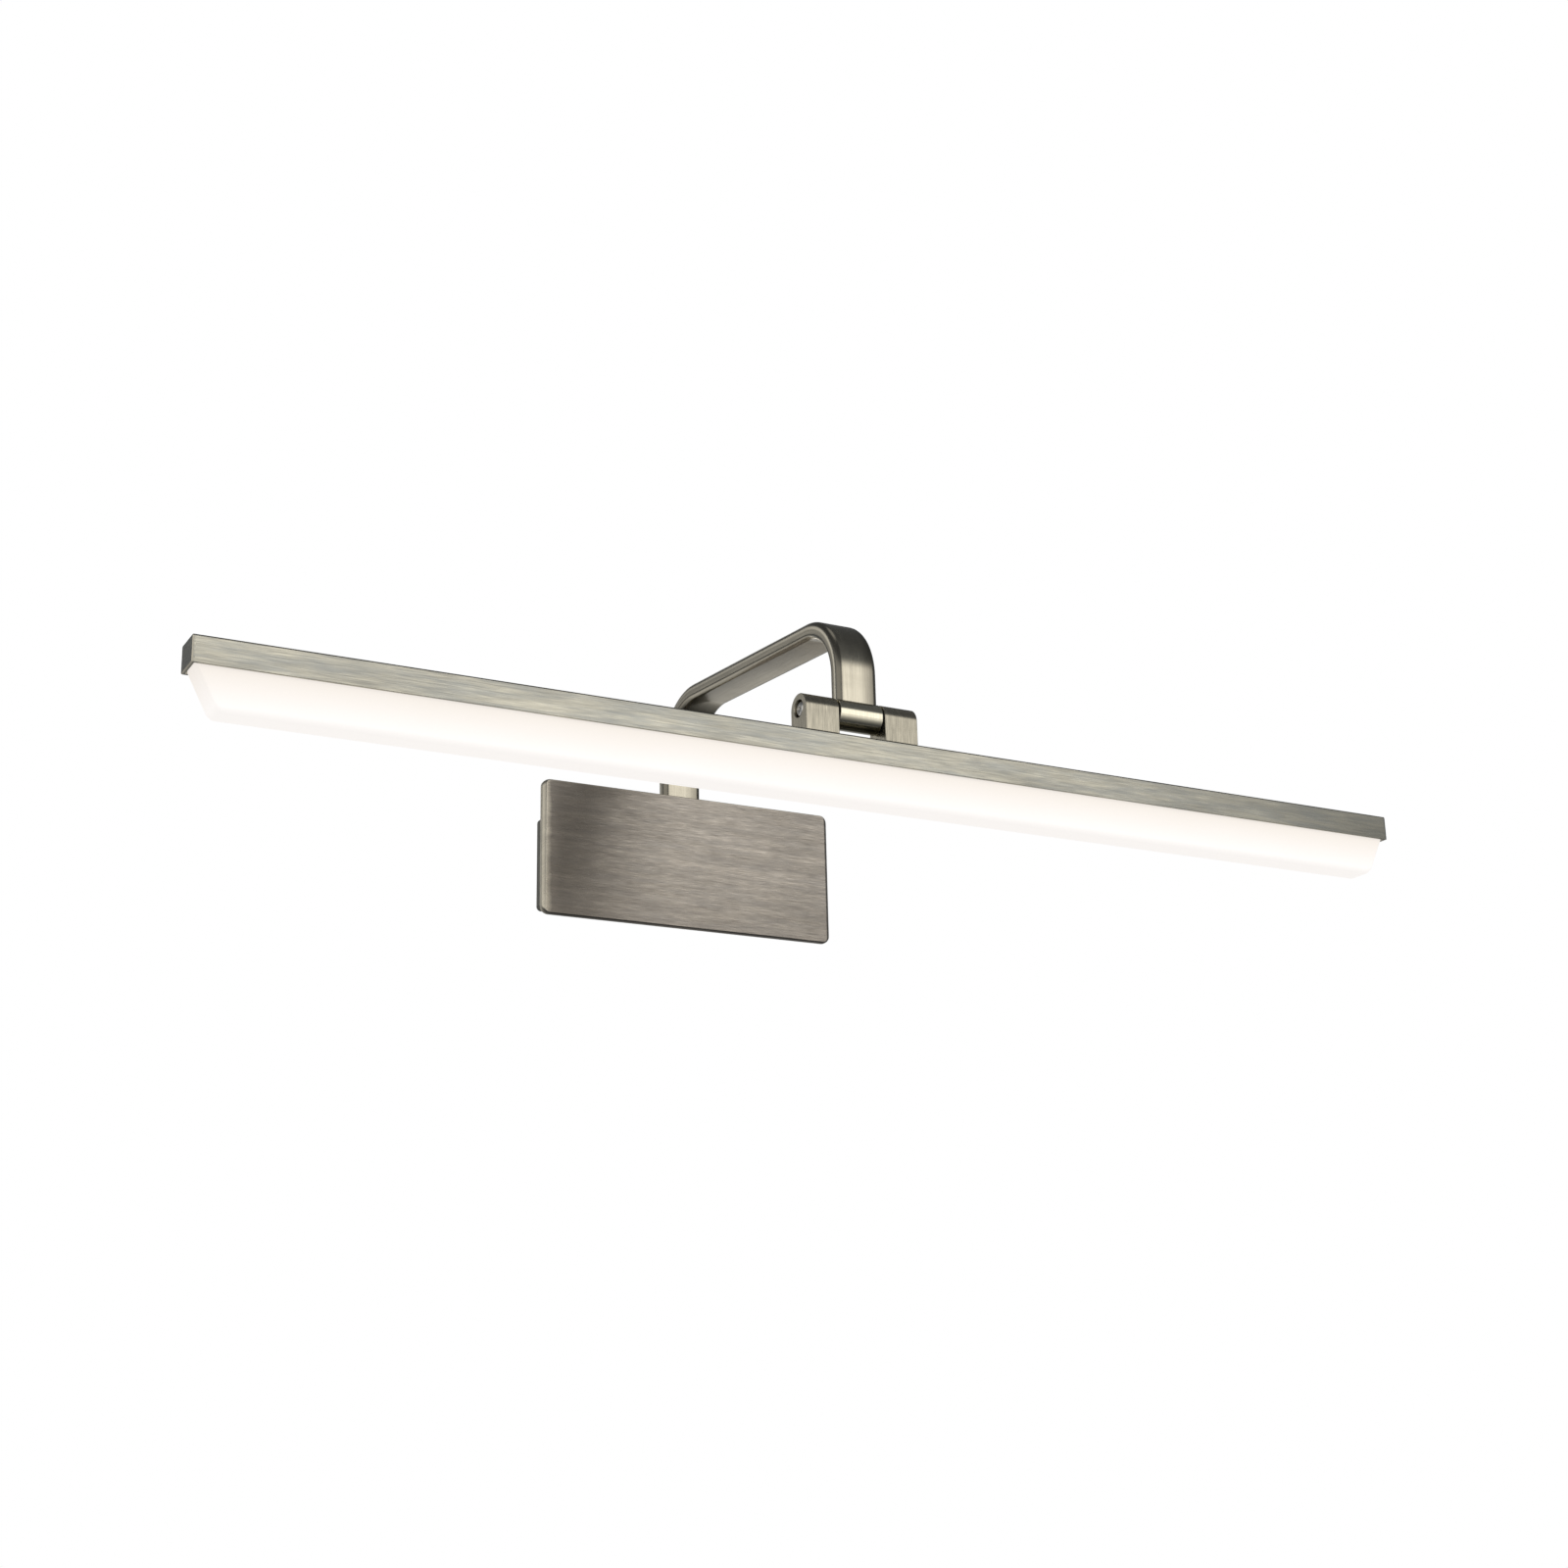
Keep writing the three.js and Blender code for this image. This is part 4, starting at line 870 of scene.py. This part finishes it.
def plate_stud(index, x, z):
    """A welded threaded stud behind the cover plate."""
    low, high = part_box("front_panel")
    start = low.y + SHEET - 0.1 * MM
    length = high.y - start
    profile = [
        (0, 0), (STUD_WELD_RADIUS, 0), (STUD_WELD_RADIUS, 0.5 * MM), (STUD_RADIUS, 0.6 * MM),
    ]
    height = 1.0 * MM
    while height + STUD_PITCH < length - 0.6 * MM:
        profile += [(STUD_RADIUS, height), (STUD_CORE, height + STUD_PITCH / 2)]
        height += STUD_PITCH
    profile += [(STUD_RADIUS, height), (1.3 * MM, length), (0, length)]
    return lathe(f"plate_stud_{index}", profile, towards("y", (x * MM, start, z * MM)), 28)


def wall_box():
    low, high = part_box("base_housing")
    place = towards("y", (0, low.y, (low.z + high.z) / 2))
    depth = high.y - low.y
    loops = tray_loops(high.x - low.x, high.z - low.z, BOX_CORNER, BOX_EDGE, SHEET, depth, SHEET)
    box = shell("wall_box", loops, place, (X, Z))
    _, arm_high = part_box("arm")
    post = (0, arm_high.y - ARM_THICKNESS / 2, high.z - 3 * MM)
    slot = prism("post_slot", rounded_box(*POST_SLOT, 5), towards("z", post), 0, 6 * MM)
    return cut(box, slot)


# ---------------------------------------------------------------- arm

ARM_THICKNESS = 7 * MM
ARM_EDGE = 2.4 * MM
ARM_WALL = 1.2 * MM
ARM_SLOPE = math.radians(4.9)
ARM_REAR_CORNER = 74.6 * MM
ARM_REAR_RADIUS = 29 * MM
ARM_FRONT_RADIUS = 25 * MM
BARREL_RADIUS = 6.1 * MM
BARREL_GAP = 0.05 * MM         # between the arm's hollowed end and the barrel


def bent_path(corners, steps=20):
    """Points and directions in the YZ plane through corners (y, z, bend radius)."""
    stations = []
    spots = [Vector(c[:2]) for c in corners]
    stations.append((spots[0], (spots[1] - spots[0]).normalized()))
    for index in range(1, len(corners) - 1):
        arriving = (spots[index] - spots[index - 1]).normalized()
        leaving = (spots[index + 1] - spots[index]).normalized()
        radius = corners[index][2]
        turn = arriving.angle(leaving)
        side = 1 if arriving.x * leaving.y - arriving.y * leaving.x > 0 else -1
        entry = spots[index] - arriving * radius * math.tan(turn / 2)
        centre = entry + Vector((-arriving.y, arriving.x)) * side * radius
        for step in range(steps + 1):
            rotate = Matrix.Rotation(side * turn * step / steps, 2)
            stations.append((centre + rotate @ (entry - centre), rotate @ arriving))
    stations.append((spots[-1], (spots[-1] - spots[-2]).normalized()))
    return stations


def bent_arm():
    low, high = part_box("arm")
    post_y = high.y - ARM_THICKNESS / 2
    front_corner = ARM_REAR_CORNER - (post_y - HINGE.y) * math.tan(ARM_SLOPE)
    stations = bent_path([
        (post_y, low.z, 0), (post_y, ARM_REAR_CORNER, ARM_REAR_RADIUS),
        (HINGE.y, front_corner, ARM_FRONT_RADIUS), (HINGE.y, HINGE.z + BARREL_RADIUS, 0),
    ])
    width = high.x - low.x
    outer = rounded_box(width, ARM_THICKNESS, ARM_EDGE)
    inner = rounded_box(
        width - 2 * ARM_WALL, ARM_THICKNESS - 2 * ARM_WALL, ARM_EDGE - ARM_WALL / 2,
    )
    run = lengths([place for place, _ in stations], closed=False)
    skin = Skin()

    def rings(section):
        """The section at each station. The last one lies on the barrel."""
        seat_radius = BARREL_RADIUS + BARREL_GAP
        made = []
        for index, (place, direction) in enumerate(stations):
            normal = Vector((direction.y, -direction.x))
            points = []
            for a, b in section:
                spot = place + normal * b
                z = spot.y
                if index == len(stations) - 1:
                    z = HINGE.z + math.sqrt(seat_radius ** 2 - (spot.x - HINGE.y) ** 2)
                points.append((a, spot.x, z))
            made.append(skin.ring(points))
        return made

    outside, inside = rings(outer), rings(inner)
    for made, section in ((outside, outer), (inside, inner)):
        around = lengths(section)
        for index in range(len(stations) - 1):
            skin.band(made[index], made[index + 1], run[index], run[index + 1], around)
    for end in (0, -1):
        skin.band(outside[end], inside[end], 0, ARM_WALL, lengths(outer))
    return skin.build("bent_arm")


# ---------------------------------------------------------------- hinge

CHEEK_RECESS_RADIUS = 3.5 * MM
CHEEK_RECESS_DEPTH = 3.5 * MM
SCREW_BORE_RADIUS = 2.25 * MM
NIPPLE_BORE_RADIUS = 3.3 * MM
NIPPLE_BORE_DEPTH = 5 * MM
BARREL_CHAMFER = 0.35 * MM
BARREL_BORE = 2.2 * MM
M3_HEAD_RADIUS = 2.75 * MM
M3_HEAD_HEIGHT = 2 * MM
M3_SHANK_RADIUS = 1.4 * MM
PIVOT_HEAD_RADIUS = 3.1 * MM
PIVOT_HEAD_HEIGHT = 2.4 * MM
PIVOT_SHANK_RADIUS = 1.95 * MM


def pivot_barrel():
    low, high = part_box("hinge_barrel")
    half = (high.x - low.x) / 2
    r, chamfer = BARREL_RADIUS, BARREL_CHAMFER
    profile = [
        (BARREL_BORE, -half), (r - chamfer, -half), (r - chamfer * 0.3, -half + chamfer * 0.3),
        (r, -half + chamfer), (r, half - chamfer), (r - chamfer * 0.3, half - chamfer * 0.3),
        (r - chamfer, half), (BARREL_BORE, half),
    ]
    return lathe("pivot_barrel", profile, towards("x", (0, HINGE.y, HINGE.z)), 96)


def cheek_block(side):
    """A cheek, round on top. The left one has a recess for the screw's head, and a bore right
    through, and the right one a bore for the nipple."""
    low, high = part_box(f"hinge_cheek_{side}")
    half = (high.y - low.y) / 2
    bottom = low.z - HINGE.z - 0.28 * MM
    outline = [(-half, bottom), (half, bottom)] + arc(0, 0, half, 0, 180, 40)
    place = towards("x", (0, HINGE.y, HINGE.z))
    block = prism(
        f"cheek_block_{side}", outline, place, low.x, high.x, brush_around=True, lid_brush="b",
    )

    def bore(name, radius, start, end, sides):
        return prism(name, arc(0, 0, radius, 0, 360, sides)[:-1], place, start, end)

    if side == "left":
        recess_end = low.x + CHEEK_RECESS_DEPTH
        cut(block, bore("recess", CHEEK_RECESS_RADIUS, low.x - MM, recess_end, 64),
            bore("bore", SCREW_BORE_RADIUS, low.x - MM, high.x + MM, 48))
    else:
        cut(block, bore("bore", NIPPLE_BORE_RADIUS, low.x - MM, low.x + NIPPLE_BORE_DEPTH, 48))
    return soften(block, 0.3)


def cross_cutter(place, reach, width, depth):
    """A tapered cross for the recess of a screw head, with its mouth above height 0."""
    def plus(half, slim):
        return [
            (-slim, -half), (slim, -half), (slim, -slim), (half, -slim),
            (half, slim), (slim, slim), (slim, half), (-slim, half),
            (-slim, slim), (-half, slim), (-half, -slim), (-slim, -slim),
        ]

    skin = Skin()
    mouth = skin.ring(place(a, b, -0.4 * MM) for a, b in plus(reach * 1.08, width * 1.1))
    foot = skin.ring(place(a, b, depth) for a, b in plus(reach * 0.5, width * 0.7))
    skin.band(mouth, foot, 0, depth, lengths(plus(reach, width)))
    skin.lid(mouth, X, Y)
    skin.lid(foot, X, Y)
    return skin.build("cross")


def pan_screw(name, place, head, height, shank, length):
    """A pan-head screw: t is 0 on top of its head and grows along the shank. Head and shank
    are radii."""
    profile = [(head * math.sin(t), height * 0.55 * (1 - math.cos(t))) for t in quarter(10)]
    profile += [(head, height * 0.9), (head * 0.96, height), (shank, height)]
    tip = height + length
    profile += [(shank, tip - shank * 0.5), (shank * 0.5, tip), (0, tip)]
    screw = lathe(name, profile, place, 56)
    return cut(screw, cross_cutter(place, head * 0.6, head * 0.13, height * 0.62))


def softened(node_name, width):
    """A CAD node's own shape with its sharp edges rounded, width in millimetres."""
    node = frame["nodes"][node_name]
    form = bmesh.new()
    form.from_mesh(node.data)
    form.transform(node.matrix_world)
    bmesh.ops.remove_doubles(form, verts=form.verts, dist=0.001 * MM)
    bmesh.ops.dissolve_limit(form, angle_limit=math.radians(1), verts=form.verts, edges=form.edges)
    mesh = bpy.data.meshes.new(f"{node_name}_fine")
    form.to_mesh(mesh)
    form.free()
    piece = bpy.data.objects.new(mesh.name, mesh)
    bpy.context.scene.collection.objects.link(piece)
    return soften(piece, width, 2, 38)


def m3_screw(node_name, axis):
    """An M3 pan-head screw in the place of a CAD node, its shank pointing along the axis."""
    low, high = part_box(node_name)
    start = (low + high) / 2
    index = "xyz".index(axis[-1])
    start[index] = (high if axis[0] == "-" else low)[index]
    shank_length = (high - low)[index] - M3_HEAD_HEIGHT
    return pan_screw(
        f"{node_name}_fine", towards(axis, start), M3_HEAD_RADIUS, M3_HEAD_HEIGHT,
        M3_SHANK_RADIUS, shank_length,
    )


# ---------------------------------------------------------------- lamp head

BAR_WALL = 1.0 * MM
BAR_ROOF = 2.0 * MM
BAR_TOP_EDGE = 0.8 * MM
CAP_EDGE = 0.6 * MM
CAP_THICKNESS = 1.2 * MM
DIFFUSER_EDGE = 1.1 * MM
DIFFUSER_FRONT_EDGE = 2.6 * MM
DIFFUSER_CORNER = 4.0 * MM
DIFFUSER_SLANT = 8 * MM
DIFFUSER_WALL = 1.5 * MM


def bar_channel():
    low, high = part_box("head_channel")
    half, top = (high.y - low.y) / 2, high.z
    inner = half - BAR_WALL
    ceiling = top - BAR_ROOF
    edge = 0.25 * MM
    outline = rounded([
        (-half, 0, edge), (-inner, 0, edge), (-inner, ceiling, 0.3 * MM),
        (inner, ceiling, 0.3 * MM), (inner, 0, edge), (half, 0, edge),
        (half, top, BAR_TOP_EDGE), (-half, top, BAR_TOP_EDGE),
    ], 5)
    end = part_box("end_cap_right")[1].x - CAP_THICKNESS
    return prism("bar_channel", outline, towards("x", (0, HINGE.y, 0)), -end, end)


def bar_cap(side):
    sign = -1 if side == "left" else 1
    low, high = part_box("head_channel")
    half, top = (high.y - low.y) / 2, high.z
    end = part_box("end_cap_right")[1].x

    def outline(inset):
        a, sharp, edge = half - inset, max(0.25 * MM - inset, 0.05 * MM), BAR_TOP_EDGE - inset
        return rounded([
            (-a, inset, sharp), (a, inset, sharp), (a, top - inset, edge), (-a, top - inset, edge),
        ], 5)

    loops = [(outline(0), sign * (end - CAP_THICKNESS))]
    for turn in quarter(4):
        inset = CAP_EDGE * (1 - math.cos(turn))
        loops.append((outline(inset), sign * (end - CAP_EDGE * (1 - math.sin(turn)))))
    return shell(f"bar_cap_{side}", loops, towards("x", (0, HINGE.y, 0)), (Y, Z))


def diffuser_outline(inset, rise, top):
    """The tray's front outline, from one rim end down, across and up to the other. Its slanted
    ends lie inset inside the tray's own, and its bottom lies rise above."""
    low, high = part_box("diffuser")
    half = high.x - inset
    bottom = low.z + rise
    lean = DIFFUSER_SLANT / -low.z
    shift = inset * (math.sqrt(1 + lean * lean) - 1)
    knee = 0.8 * MM
    corner = max(DIFFUSER_CORNER - inset, 0.3 * MM)
    foot = high.x - shift - inset + lean * bottom
    return rounded([
        (-half, top, 0), (-half, 0, knee), (-foot, bottom, corner),
        (foot, bottom, corner), (half, 0, knee), (half, top, 0),
    ], 6)


def opal_tray():
    """A hollow tray, open at the top. Its stations run from front to back: the edge's radius,
    the share of it that the outline lies inside, and the place along Y."""
    low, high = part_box("diffuser")
    half_depth = (high.y - low.y) / 2
    rim = high.z
    turns = quarter(7)
    edges = ((-1, DIFFUSER_FRONT_EDGE, turns), (1, DIFFUSER_EDGE, turns[::-1]))
    stations = [(edge, 1 - math.sin(t), side * (half_depth - edge * (1 - math.cos(t))))
                for side, edge, sweep in edges for t in sweep]
    skin = Skin()

    def surface(extra):
        loops = []
        for edge, share, depth in stations:
            inset, rise = (share * (radius - extra) + extra for radius in (DIFFUSER_EDGE, edge))
            points = diffuser_outline(inset, rise, rim)
            scale = (half_depth - extra) / half_depth
            loops.append(skin.ring((a, HINGE.y + depth * scale, b) for a, b in points))
        return loops

    outside, inside = surface(0), surface(DIFFUSER_WALL)
    around = lengths(diffuser_outline(0, 0, rim), closed=False)
    for loops in (outside, inside):
        skin.lid(loops[0], X, Z)
        skin.lid(loops[-1], X, Z)
        for index in range(len(loops) - 1):
            run = stations[index][2], stations[index + 1][2]
            skin.band(loops[index], loops[index + 1], *run, around, closed=False, brush_around=True)
    for end in (0, -1):
        for index in range(len(stations) - 1):
            one, other = outside[index:index + 2], inside[index:index + 2]
            quad = [one[0][end], one[1][end], other[1][end], other[0][end]]
            skin.face(quad, [(0, 0), (0, MM), (MM, MM), (MM, 0)])
    for index in (0, -1):
        quad = [outside[index][0], outside[index][-1], inside[index][-1], inside[index][0]]
        skin.face(quad, [(skin.points[k].x, skin.points[k].y) for k in quad])
    return skin.build("opal_tray", ROUNDED_SMOOTH_ANGLE)


# ---------------------------------------------------------------- assembly

finish_piece(cover_plate(), WALL, "brushed_brass_plate", "front_panel")
for number, (stud_x, stud_z) in enumerate(STUDS, 1):
    finish_piece(plate_stud(number, stud_x, stud_z), WALL, "nickel_screw")
finish_piece(wall_box(), WALL, "box_dark_brass", "base_housing")
finish_piece(bent_arm(), WALL, "brushed_brass_arm", "arm")
finish_piece(pivot_barrel(), WALL, "brushed_brass_hinge", "hinge_barrel", material="turned_brass")
for side in ("left", "right"):
    finish_piece(cheek_block(side), HEAD, "brushed_brass_hinge", f"hinge_cheek_{side}")
    finish_piece(bar_cap(side), HEAD, "brushed_brass_channel", f"end_cap_{side}")
finish_piece(bar_channel(), HEAD, "brushed_brass_channel", "head_channel")
finish_piece(opal_tray(), HEAD, "opal_diffuser", "diffuser")

screw_low, screw_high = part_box("hinge_screw")
pivot_screw = pan_screw(
    "pivot_screw", towards("x", (screw_low.x, HINGE.y, HINGE.z)), PIVOT_HEAD_RADIUS,
    PIVOT_HEAD_HEIGHT, PIVOT_SHANK_RADIUS, screw_high.x - screw_low.x - PIVOT_HEAD_HEIGHT,
)
finish_piece(pivot_screw, WALL, "nickel_screw", "hinge_screw")

slots = {part["node"]: part["material_slot"] for part in frame["record"]["subparts"]}
SOFT_EDGES = {                 # millimetres
    "wall_bracket": 0.3, "cable_grommet": 0.3, "driver_case": 0.4, "driver_lid": 0.3,
    "terminal_block": 0.4, "arm_flange": 0.3, "panel_nut_1": 0.25, "panel_nut_2": 0.25,
    "panel_nut_3": 0.25, "earth_washer": 0.12, "friction_washer_left": 0.1,
    "friction_washer_right": 0.1, "hinge_spring_washer": 0.12,
}
for name, width in SOFT_EDGES.items():
    finish_piece(softened(name, width), WALL, slots[name], name)
M3_SCREWS = {                  # the direction of each shank
    "cover_screw_left": "x", "cover_screw_right": "-x", "earth_screw": "y",
    "terminal_fixing_screw": "-y", "flange_screw_left": "z", "flange_screw_right": "z",
}
for name, axis in M3_SCREWS.items():
    finish_piece(m3_screw(name, axis), WALL, slots[name], name)
for name, node in frame["nodes"].items():
    if not node.hide_render:
        node.data.materials.clear()
        node.data.materials.append(MATERIALS[slots[name]])
